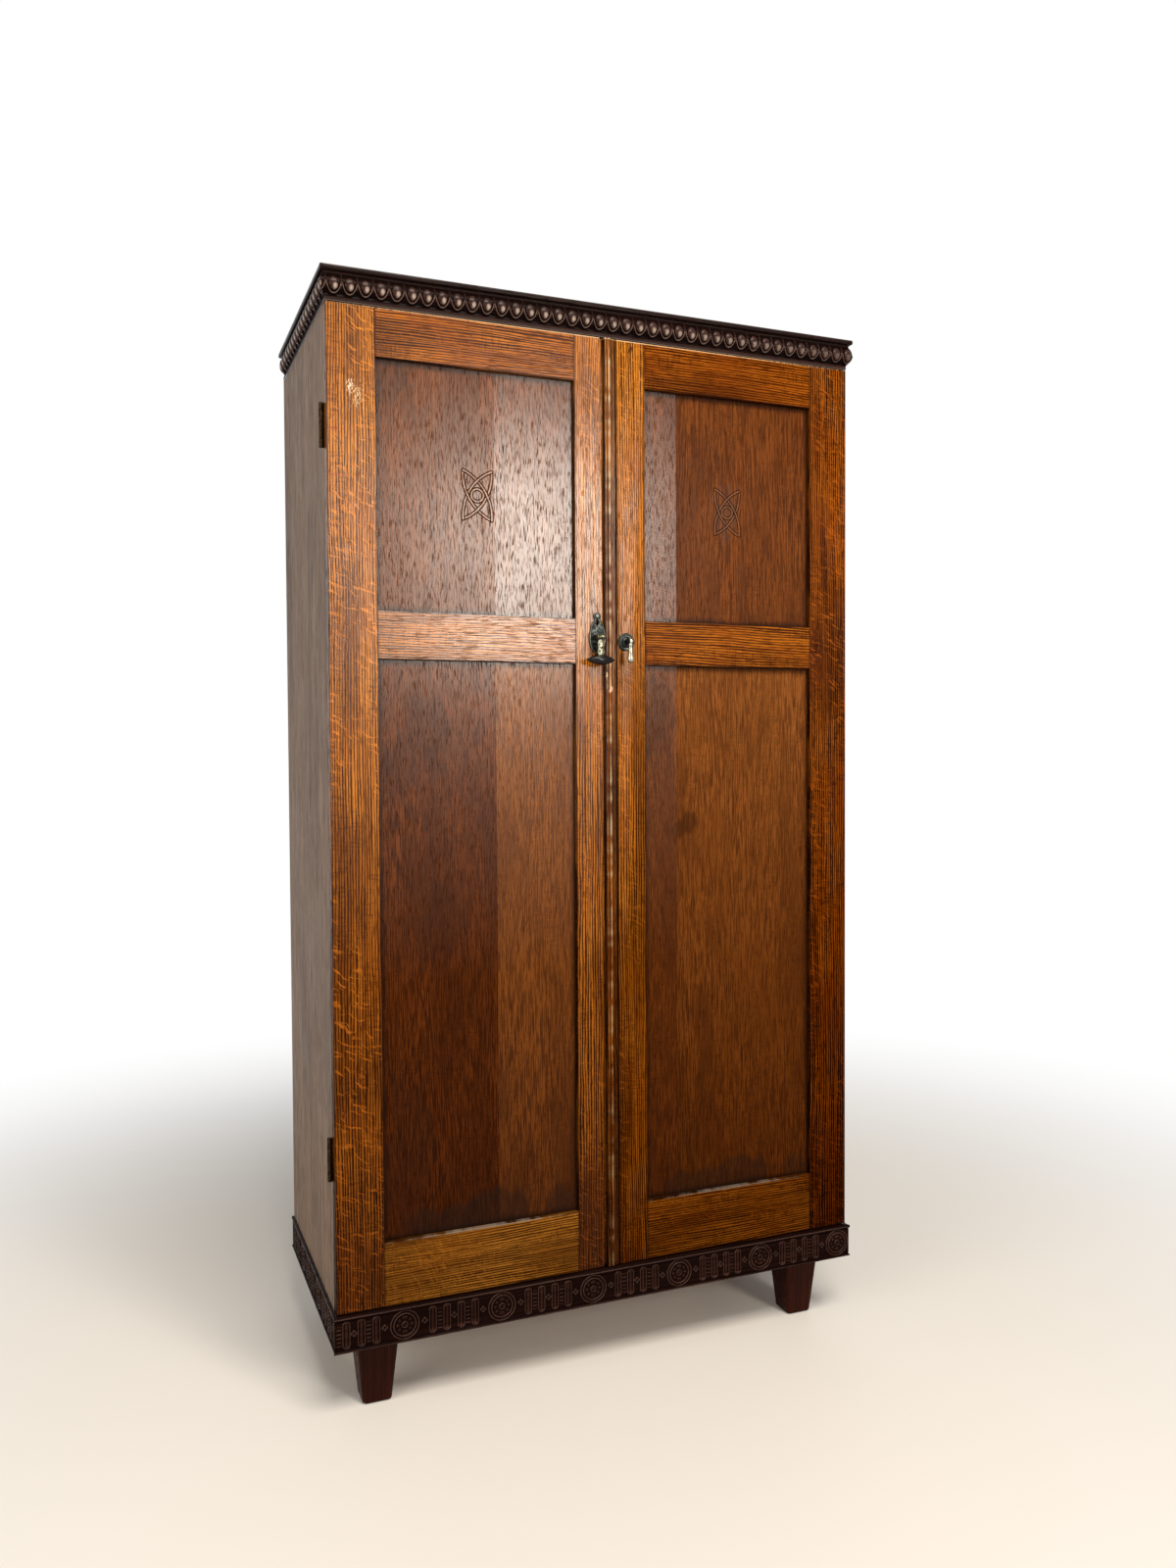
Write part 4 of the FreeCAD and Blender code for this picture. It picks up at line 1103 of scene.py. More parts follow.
@dataclass
class Plinth(Course):
    """The plinth: a carved frieze of rosettes and tongues between two beads."""

    name: str = "plinth"
    seed: int = 24
    rail_seed: int = 21
    front_projection: float = 6.7
    side_projection: float = 5.0
    thickness: float = 28.0
    bead: float = 6.0
    foot_bead: float = 3.5
    sink: float = 2.0
    bay: float = 165.4
    first_rosette: float = -369.5
    first_tongue: float = 46.6
    tongues: int = 4
    rosette_reach: float = 26.0
    bead_steps: int = 8

    def run(self, run: Run) -> None:
        """Make one side of the plinth."""
        p = self.front_projection if run.side == 0 else self.side_projection
        field_out, top = p - self.sink, self.tall

        def ground(share: np.ndarray, height: np.ndarray) -> tuple[np.ndarray, np.ndarray]:
            """Lay carving on the flat field between the beads."""
            up = self.bottom + self.foot_bead + share * (top - self.bead - self.foot_bead)
            return field_out + height, up

        profile = [(p - self.thickness, 0, PLAIN), (field_out, 0, PLAIN),
                   *self.bead_curve(field_out, p, 0, self.foot_bead),
                   (field_out - 4, self.foot_bead + 1, 0.2), (field_out - 4, top - self.bead - 1, 0.2),
                   *self.bead_curve(field_out, p, top - self.bead, self.bead),
                   (field_out, top, 0.5), (p - self.thickness, top, 0.5)]
        band = CarvedBand("frieze", self.bay, 208, 60, self.carving, ground)
        if run.side == 0:
            self.lay(run, profile, band, 7, self.first_rosette - self.bay)
        else:
            self.lay(run, profile, band, 3, p - 3 * self.bay)

    def bead_curve(self, base: float, crest: float, bottom: float, tall: float) -> list[Triple]:
        """Give the round of a bead as short straight steps, with its rubbed crest.

        Args:
            base: Where it springs from, outward in millimetres.
            crest: Where it stands out to.
            bottom: Its bottom.
            tall: Its height.

        Returns:
            Outward, up and crown of each step.
        """
        turns = [math.pi * index / self.bead_steps for index in range(1, self.bead_steps)]
        return [(base + (crest - base) * math.sin(turn), bottom + tall * (1 - math.cos(turn)) / 2,
                 0.25 + 0.57 * math.sin(turn) ** 10) for turn in turns]

    def carving(self, along: np.ndarray, share: np.ndarray) -> tuple[np.ndarray, np.ndarray]:
        """Carve one bay: half a rosette at each end, and tongues with ladders and flowers between.

        Args:
            along: Place along the bay in millimetres.
            share: Share of the way up the field.

        Returns:
            Height over the field in millimetres, and crown.
        """
        tall = self.tall - self.bead - self.foot_bead
        y = (share - 0.5) * tall
        side = np.minimum(along, self.bay - along)
        span = (self.bay - 2 * self.first_tongue) / (self.tongues - 1)
        across = np.abs(np.mod(along - self.first_tongue + span / 2, span) - span / 2)
        outer = side < self.first_tongue - 6
        between = np.where(outer, np.abs(side - 33.0), span / 2 - across)
        carved = np.where(outer, 0.0, self.tongue(across, y, tall))
        laddered = np.mod(np.floor(along / span), 2) == 0
        carved = np.maximum(carved, np.where(laddered, self.ladder(between, y), self.flower(between, y)))
        rosette = self.rosette(np.hypot(side, y), np.arctan2(y, side))
        carved = np.where(side < self.rosette_reach, rosette, carved)
        lip = np.clip(np.minimum(share, 1 - share) / 0.02, 0, 1)
        return (1.7 * carved - 1.6) * lip, 0.17 + 0.62 * carved

    def tongue(self, across: np.ndarray, y: np.ndarray, tall: float) -> np.ndarray:
        """Carve an upright tongue with an edge line round it and a crescent at its foot."""
        reach = np.hypot(across, np.clip(np.abs(y) - (tall / 2 - 8.5), 0, None))
        edge = round_line(np.abs(reach - 5.6), 1.2)
        body = 0.7 * round_line(across, 2.6) * (reach < 4.4)
        crescent = round_line(np.abs(np.hypot(across, y + tall / 2 - 9.0) - 3.4), 1.2) * (y < 7.0 - tall / 2)
        return np.maximum(np.maximum(edge, body), crescent)

    def ladder(self, between: np.ndarray, y: np.ndarray) -> np.ndarray:
        """Carve short rungs one over another."""
        rung = round_line(np.abs(np.mod(y + 40.0, 6.6) - 3.3), 1.6)
        return np.where((between < 4.2) & (np.abs(y) < 16.5), 0.9 * rung, 0.0)

    def flower(self, between: np.ndarray, y: np.ndarray) -> np.ndarray:
        """Carve a four-lobed flower."""
        turn = np.arctan2(y - 1.0, between)
        return round_line(np.abs(np.hypot(between, y - 1.0) - 3.4 - 0.9 * np.cos(4 * turn)), 1.5)

    def rosette(self, reach: np.ndarray, turn: np.ndarray) -> np.ndarray:
        """Carve two rings round a ring of beads and a button."""
        rings = np.maximum(round_line(np.abs(reach - 23.4), 1.3), round_line(np.abs(reach - 18.2), 1.3))
        beads = round_line(np.abs(reach - 11.5), 2.6) * np.clip(0.5 + np.cos(9 * turn), 0, 1)
        button = np.maximum(round_line(np.abs(reach - 4.6), 1.2), 0.8 * round_line(reach, 2.0))
        return np.maximum(np.maximum(rings, 0.85 * beads), button)


@dataclass
class Case:
    """The boards of the case, its inside and its feet: node, cut, seed, tone, finish, slot and easing."""

    boards: tuple[tuple, ...] = (
        ("left_side", Cut.SIDE, 31, 0.52, SIDE_OAK, "oak_side", 0.6),
        ("right_side", Cut.SIDE, 37, 0.50, SIDE_OAK, "oak_side", 0.6),
        ("base_board", Cut.FLAT, 41, 0.5, INSIDE_PINE, "interior_board", 0.4),
        ("roof_board", Cut.FLAT, 42, 0.5, INSIDE_PINE, "interior_board", 0.4),
        ("hat_shelf", Cut.FLAT, 43, 0.52, INSIDE_PINE, "interior_board", 1.0),
        ("shelf_bearers", Cut.RETURN, 44, 0.48, INSIDE_PINE, "interior_board", 1.0),
        ("rail_sockets", Cut.SIDE, 45, 0.46, INSIDE_PINE, "interior_board", 1.0),
        ("foot_blocks", Cut.RETURN, 46, 0.45, INSIDE_PINE, "interior_board", 1.0),
        ("back_panel_left", Cut.UPRIGHT, 47, 0.5, BACK_PLY, "back_board", 0.2),
        ("back_panel_right", Cut.UPRIGHT, 48, 0.53, BACK_PLY, "back_board", 0.2),
        ("back_batten", Cut.UPRIGHT, 49, 0.5, BACK_PLY, "back_board", 0.8),
        ("front_feet", Cut.UPRIGHT, 51, 0.5, FOOT_OAK, "dark_oak", 2.0),
        ("back_feet", Cut.UPRIGHT, 52, 0.5, FOOT_OAK, "dark_oak", 2.0))

    def build(self) -> None:
        """Make every plain board of the case, the feet and the hanging rail."""
        for node, cut, seed, tone, finish, slot, ease in self.boards:
            joined = Joinery()
            joined.add(*cad_shape(node, ease), plank=Plank(cut, seed, tone))
            joined.fit(node + "_planed", "case", slot, finish, node)
        low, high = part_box("hanging_rail")
        start, end, radius = low[0] / MM, high[0] / MM, (high[2] - low[2]) / 2 / MM
        outline = [(0.0, start, PLAIN), (radius - 1, start, PLAIN), (radius, start + 1, PLAIN),
                   (radius, end - 1, PLAIN), (radius - 1, end, PLAIN), (0.0, end, PLAIN)]
        tube = Joinery()
        tube.add(*lathe(outline, middle(low, high), 0, 48), Plank(Cut.LEVEL, 1))
        tube.fit("hanging_rail_tube", "case", "rail_brass", OLD_BRASS, "hanging_rail", 30)


def middle(low: Sequence[float], high: Sequence[float]) -> Triple:
    """Give the middle of a box."""
    return tuple((a + b) / 2 for a, b in zip(low, high))


def lathe(outline: Sequence[Triple], centre: Triple, axis: int, steps: int) -> Carved:
    """Turn an outline about an axis through a centre, with closed poles.

    Args:
        outline: Radius and place along the axis in millimetres, and crown.
        centre: A point on the axis, in metres.
        axis: 0, 1 or 2 for x, y or z.
        steps: Corners round the axis.

    Returns:
        Corners in metres, faces turned outward, and crown values.
    """
    first, second = [(1, 2), (2, 0), (0, 1)][axis]
    points, faces, rings, crowns = [], [], [], []
    for radius, along, crown in outline:
        ring = []
        for index in range(steps if radius > 1e-4 else 1):
            turn = 2 * math.pi * index / steps
            spot = [0.0, 0.0, 0.0]
            spot[axis] = along * MM
            spot[first] = centre[first] + radius * MM * math.cos(turn)
            spot[second] = centre[second] + radius * MM * math.sin(turn)
            ring.append(len(points))
            points.append(spot)
            crowns.append(crown)
        rings.append(ring)
    for a, b in zip(rings, rings[1:]):
        for index in range(steps):
            after = (index + 1) % steps
            corners = (a[index % len(a)], a[after % len(a)], b[after % len(b)], b[index % len(b)])
            face = tuple(dict.fromkeys(corners))
            if len(face) > 2:
                faces.append(face)
    points, faces = outward(np.array(points), faces)
    return points, faces, np.array(crowns)


def sheet(front: np.ndarray, back: float, hole: np.ndarray, crown: np.ndarray, behind: float) -> Carved:
    """Make a closed plate from a grid of front points, with holes through it.

    Args:
        front: Rows and columns of front corners in metres.
        back: The plate's flat back, as y in metres.
        hole: Which corners of the grid are in a hole.
        crown: The front corners' crown values.
        behind: The crown of the back.

    Returns:
        Corners, faces and crown values.
    """
    keep = ~(hole[:-1, :-1] & hole[1:, 1:] & hole[:-1, 1:] & hole[1:, :-1])
    rows, columns = front.shape[:2]
    flat = front.copy()
    flat[..., 1] = back
    points = np.concatenate([front.reshape(-1, 3), flat.reshape(-1, 3)])
    shift = rows * columns
    solid = np.pad(keep, 1)
    faces = []
    for row, column in np.argwhere(keep):
        a = int(row * columns + column)
        b, c, d = a + 1, a + columns + 1, a + columns
        faces += [(a, b, c, d), (a + shift, d + shift, c + shift, b + shift)]
        sides = ((row, column + 1, a, b), (row + 1, column + 2, b, c),
                 (row + 2, column + 1, c, d), (row + 1, column, d, a))
        faces += [(end, start, start + shift, end + shift) for y, x, start, end in sides if not solid[y, x]]
    used = sorted({index for face in faces for index in face})
    number = {old: new for new, old in enumerate(used)}
    points, faces = outward(points[used], [tuple(number[index] for index in face) for face in faces])
    return points, faces, np.concatenate([crown.ravel(), np.full(crown.size, behind)])[used]


# Each door's boards, with their seed, tone, rays and polish as the photograph shows them.
LEFT_BOARDS = {
    "hinge_stile": Plank(Cut.UPRIGHT, 60, 0.46, 1.0, 1.0),
    "meeting_stile": Plank(Cut.UPRIGHT, 61, 0.46, 0.6, 1.2),
    "bottom_rail": Plank(Cut.LEVEL, 64, 0.82, 0.3, 0.3),
    "middle_rail": Plank(Cut.LEVEL, 65, 0.42, 0.12, 1.6),
    "top_rail": Plank(Cut.LEVEL, 66, 0.28, 0.12, 0.7),
    "lower_panel_left": Plank(Cut.UPRIGHT, 69, 0.42, 0.3, 0.95),
    "lower_panel_right": Plank(Cut.UPRIGHT, 70, 0.62, 0.3, 1.0),
    "upper_panel_left": Plank(Cut.UPRIGHT, 72, 0.45, 0.3, 0.85),
    "upper_panel_right": Plank(Cut.UPRIGHT, 73, 0.43, 0.3, 1.35),
}
RIGHT_BOARDS = {
    "hinge_stile": Plank(Cut.UPRIGHT, 80, 0.14, 0.7, 0.12),
    "meeting_stile": Plank(Cut.UPRIGHT, 81, 0.46, 0.5, 0.75),
    "bottom_rail": Plank(Cut.LEVEL, 84, 0.52, 0.3, 0.1),
    "middle_rail": Plank(Cut.LEVEL, 85, 0.26, 0.12, 0.12),
    "top_rail": Plank(Cut.LEVEL, 86, 0.19, 0.12, 0.08),
    "lower_panel_left": Plank(Cut.UPRIGHT, 89, 0.5, 0.3, 0.5),
    "lower_panel_right": Plank(Cut.UPRIGHT, 90, 0.57, 0.3, 0.05),
    "upper_panel_left": Plank(Cut.UPRIGHT, 92, 0.42, 0.3, 0.87),
    "upper_panel_right": Plank(Cut.UPRIGHT, 93, 0.43, 0.3, 0.12),
}


@dataclass
class Door:
    """One framed door: two stiles, three rails and two panels of two boards each."""

    name: str
    boards: dict[str, Plank]
    seam: float
    knot: tuple[float, float]
    ribbon: float
    groove: float = 7.5
    edge_polish: float = 0.15

    def build(self) -> None:
        """Make the frame and the panels."""
        hinge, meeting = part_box(f"{self.name}_hinge_stile"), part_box(f"{self.name}_meeting_stile")
        left, right = (hinge, meeting) if self.name == "left" else (meeting, hinge)
        inner = (left[1][0], right[0][0])
        for part in ("hinge_stile", "meeting_stile", "bottom_rail", "middle_rail", "top_rail"):
            self.stick(part, None if "stile" in part else inner)
        for part in ("lower_panel", "upper_panel"):
            self.panel(part, inner)

    def stick(self, part: str, inner: tuple[float, float] | None) -> None:
        """Make one stile or rail.

        Args:
            part: Its name after the door's.
            inner: Where a rail's shoulders are, so that its tenons don't count as its ends.
        """
        node, plank = f"{self.name}_{part}", self.boards[part]
        points, faces = cad_shape(node, 0.5)
        low, high = points.min(axis=0), points.max(axis=0)
        if inner:
            low[0], high[0] = inner
        joined = Joinery()
        joined.add(points, faces, None, plank, (tuple(low), tuple(high)))
        if not inner:
            edge = np.minimum(points[:, 0] - low[0], high[0] - points[:, 0]) < 0.1 * MM
            joined.layers["polish"][-1][edge] = self.edge_polish * plank.polish
        joined.fit(f"{node}_oak", f"{self.name}_door", "oak_frame", FRAME_OAK, node)

    def panel(self, part: str, inner: tuple[float, float]) -> None:
        """Make one panel of two boards, with the knot ornament on the upper one.

        Args:
            part: Its name after the door's.
            inner: Where the stiles' inner edges are.
        """
        low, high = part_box(f"{self.name}_{part}")
        seam = self.seam * MM
        joined = Joinery()
        extent = ((inner[0], low[1], low[2] + self.groove * MM),
                  (inner[1], high[1], high[2] - self.groove * MM))
        for x0, x1, side in ((low[0], seam, "left"), (seam, high[0], "right")):
            ends = ((x0, low[1], low[2]), (x1, high[1], high[2]))
            if part == "upper_panel" and x0 < self.knot[0] * MM < x1:
                shape = KnotOrnament(self.knot, low[1], self.ribbon).board(*ends)
            else:
                shape = plain_box(*ends)
            joined.add(*shape, plank=self.boards[f"{part}_{side}"], extent=extent)
        node = f"{self.name}_{part}"
        joined.fit(node + "_boards", f"{self.name}_door", "oak_panel", PANEL_OAK, node)


def plain_box(low: Triple, high: Triple) -> Shape:
    """Give the corners and faces of a sharp box."""
    faces = [(0, 1, 3, 2), (4, 6, 7, 5), (0, 4, 5, 1), (2, 3, 7, 6), (0, 2, 6, 4), (1, 5, 7, 3)]
    return outward(np.array(list(product(*zip(low, high)))), faces)


@dataclass
class KnotOrnament:
    """Two crossed pointed loops laced with a ring, cut into the face of a panel, in millimetres."""

    centre: tuple[float, float]
    front: float
    ribbon: float
    tip: tuple[float, float] = (24.6, 40.0)
    bulge: float = 15.0
    half_width: float = 28.2
    half_height: float = 44.0
    cell: float = 0.6
    ring: float = 10.2
    rise: float = 0.22

    def board(self, low: Triple, high: Triple) -> Carved:
        """Make the board that carries the ornament.

        Args:
            low: The board's lowest corner in metres.
            high: Its highest corner.

        Returns:
            Corners, faces and crown values.
        """
        columns, rows = (int(2 * half / self.cell) + 1 for half in (self.half_width, self.half_height))
        xs = (self.centre[0] + np.linspace(-self.half_width, self.half_width, columns)) * MM
        zs = (self.centre[1] + np.linspace(-self.half_height, self.half_height, rows)) * MM
        x, z = (grid.ravel() for grid in np.meshgrid(xs, zs))
        height = self.relief(x / MM - self.centre[0], z / MM - self.centre[1])
        patch = np.stack([x, self.front - height * MM, z], axis=1)
        o = len(patch)
        points = np.concatenate([patch, np.array(list(product(*zip(low, high))))])
        bottom, top = tuple(range(columns)), tuple(range(o - columns, o))
        left, right = tuple(range(0, o, columns)), tuple(range(columns - 1, o, columns))
        faces = grid_faces(columns, rows)
        faces += [(o, o + 4) + bottom[::-1], (o + 4, o + 5) + right[::-1],
                  (o + 5, o + 1) + top, (o + 1, o) + left,
                  (o + 2, o + 3, o + 7, o + 6), (o, o + 1, o + 3, o + 2), (o + 4, o + 6, o + 7, o + 5),
                  (o, o + 2, o + 6, o + 4), (o + 1, o + 5, o + 7, o + 3)]
        # Wear and painted highlight: the ribbons' crests get high crowns, which lay a pale colour.
        crest = PLAIN + (self.ribbon - PLAIN) * height / self.rise
        crown = np.where(height > 0, crest, PLAIN + 0.72 * height)
        return points, faces, np.concatenate([crown, np.full(8, PLAIN)])

    def relief(self, x: np.ndarray, z: np.ndarray) -> np.ndarray:
        """Cut the ribbons as low rounds between two grooves.

        Args:
            x: Across from the centre in millimetres.
            z: Up from the centre in millimetres.

        Returns:
            Height over the panel's face in millimetres.
        """
        strands = []
        for sign, turn in product((1, -1), (1, -1)):
            above = np.where(np.abs(x) > 8, 3, 1) if sign > 0 else np.full_like(x, 2)
            strands.append((self.arc_gap(x * sign, z, turn), above))
        strands.append((np.abs(np.hypot(x, z) - self.ring), np.full_like(x, 2.5)))
        height, highest = np.zeros_like(x), np.full_like(x, -1.0)
        for gap, above in strands:
            ribbon = self.rise * np.clip(3 * (1 - (gap / 1.7) ** 2), 0, 1)
            groove = -0.9 * np.clip(1.25 - np.abs(gap - 2.3) / 0.8, 0, 1)
            wins = (gap < 3.1) & (above > highest)
            height = np.where(wins, ribbon + groove, height)
            highest = np.where(wins, above, highest)
        return height

    def arc_gap(self, x: np.ndarray, z: np.ndarray, turn: int) -> np.ndarray:
        """Give the distance to one bowed side of the loop that leans from upper left to lower right.

        Args:
            x: Across from the centre in millimetres.
            z: Up from the centre in millimetres.
            turn: 1 for the side above the loop's axis, -1 for the one below.

        Returns:
            Distance to the side's centre line in millimetres.
        """
        half = math.hypot(*self.tip)
        along = (x * self.tip[0] - z * self.tip[1]) / half
        across = (x * self.tip[1] + z * self.tip[0]) / half
        radius = (half ** 2 + self.bulge ** 2) / (2 * self.bulge)
        gap = np.abs(np.hypot(along, turn * across + (radius - self.bulge)) - radius)
        beyond = (np.abs(along) > half) | (turn * across < -2.0)
        end = np.hypot(np.abs(along) - half, across)
        return np.where(beyond, np.maximum(end, gap), gap)


@dataclass
class MeetingMoulding:
    """The reeded moulding on the left door's meeting edge."""

    reed: float = 6.2
    rise: float = 3.5
    fillet_rise: float = 0.6
    rows: int = 160
    steps: int = 12

    def build(self) -> None:
        """Make the moulding as one swept length, with a painted highlight along its crests that is broken
        here and there, and painted shade in the quirk and on the fillet.
        """
        low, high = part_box("meeting_moulding")
        left, right, seat, face = low[0] / MM, high[0] / MM, high[1] / MM, low[1] / MM
        low_line = face + self.rise - self.fillet_rise
        # Painted shade: the quirk at the left edge gets a low crown, which darkens it.
        section = [(right, seat, PLAIN), (left, seat, PLAIN), (left, low_line, 0.3)]
        for reed in range(2):
            start = left + reed * self.reed
            end = start + self.reed
            centre, radius = circle_through(*(np.array(spot) for spot in (
                (start, low_line), (start + self.reed / 2, face), (end, low_line))))
            first, last = (math.atan2(low_line - centre[1], x - centre[0]) for x in (start, end))
            for index in range(1, self.steps + 1):
                turn = first + (last - first) * index / self.steps
                crest = math.sin(math.pi * index / self.steps) if index < self.steps else 0.0
                # Painted highlight: the right reed's crest is made much paler than the left's.
                bright = 0.35 + (0.6 * crest ** 0.7 if reed else 0.52 * crest ** 3)
                section.append((centre[0] + radius * math.cos(turn), centre[1] + radius * math.sin(turn),
                                bright))
        # Painted shade: the fillet at the right gets low crowns.
        section += [(right - 1.2, low_line, 0.4), (right, low_line + 0.8, 0.3)]
        count = len(section)
        worn = np.random.default_rng(7).uniform(0.6, 1.05, self.rows)
        points = [(x * MM, y * MM, z) for z in np.linspace(low[2], high[2], self.rows) for x, y, _ in section]
        faces = [(row * count + i, row * count + (i + 1) % count, (row + 1) * count + (i + 1) % count,
                  (row + 1) * count + i) for row in range(self.rows - 1) for i in range(count)]
        faces += [tuple(range(count)), tuple(range(len(points) - count, len(points)))]
        crown = np.array([min(0.3 + (bright - 0.3) * share, 1.0)
                          for share in worn for _, _, bright in section])
        joined = Joinery()
        joined.add(*outward(np.array(points), faces), crown, Plank(Cut.UPRIGHT, 77, 0.37, 0.0))
        joined.fit("meeting_moulding_reeds", "left_door", "oak_frame", FRAME_OAK, "meeting_moulding", 25)


@dataclass
class Ironmongery:
    """Metal parts that keep the solids' own shapes: node, body, slot, finish and easing."""

    parts: tuple[tuple, ...] = (
        ("case_hinge_leaves", "case", "hinge_brass", HINGE_BRASS, 0.2),
        ("left_door_hinge_leaves", "left_door", "hinge_brass", HINGE_BRASS, 0.2),
        ("right_door_hinge_leaves", "right_door", "hinge_brass", HINGE_BRASS, 0.2),
        ("bolt_keepers", "case", "hinge_brass", OLD_BRASS, 0.15),
        ("bolt_plates", "right_door", "hinge_brass", OLD_BRASS, 0.3),
        ("top_bolt", "top_bolt", "hinge_brass", OLD_BRASS, 0.3),
        ("bottom_bolt", "bottom_bolt", "hinge_brass", OLD_BRASS, 0.3),
        ("lock_case", "left_door", "lock_steel", LOCK_STEEL, 0.4),
        ("lock_bolt", "lock_bolt", "lock_steel", LOCK_STEEL, 0.3),
        ("strike_plate", "right_door", "hinge_brass", OLD_BRASS, 0.15),
        ("left_pull_pin", "left_door", "lock_steel", LOCK_STEEL, 0.1),
        ("right_pull_pin", "right_door", "lock_steel", LOCK_STEEL, 0.1),
        ("right_pull_nut", "right_door", "lock_steel", LOCK_STEEL, 0.3),
        ("left_pull_lug", "left_door", "pull_brass", PULL_BRASS, 0.4),
        ("right_pull_spindle", "right_door", "dark_bronze", DARK_BRONZE, 0.3))
    lug_crown: float = 0.35

    def build(self) -> None:
        """Make smooth-edged copies of every small metal part."""
        for node, body, slot, finish, ease in self.parts:
            points, faces = cad_shape(node, ease, 40.0)
            joined = Joinery()
            crown = self.lug_crown if node == "left_pull_lug" else PLAIN
            joined.add(points, faces, np.full(len(points), crown))
            joined.fit(node + "_metal", body, slot, finish, node, 32)


class Facing(Enum):
    """Which way a screw's head looks, as a turn from the front about x and about z."""

    FRONT = (0.0, 0.0)
    BACK = (0.0, math.pi)
    LEFT = (0.0, -math.pi / 2)
    RIGHT = (0.0, math.pi / 2)
    UP = (-math.pi / 2, 0.0)
    DOWN = (math.pi / 2, 0.0)


def islands(node: str) -> list[tuple[np.ndarray, np.ndarray]]:
    """Find the separate solids of a node.

    Args:
        node: The node's name.

    Returns:
        The low and high corners of each.
    """
    points, faces = cad_shape(node, 0.0)
    group = list(range(len(points)))

    def root(index: int) -> int:
        """Follow a corner to the one that stands for its solid."""
        while group[index] != index:
            index = group[index]
        return index

    for face in faces:
        for other in face[1:]:
            group[root(other)] = root(face[0])
    roots = np.array([root(index) for index in range(len(points))])
    solids = [points[roots == one] for one in dict.fromkeys(roots.tolist())]
    return [(solid.min(axis=0), solid.max(axis=0)) for solid in solids]


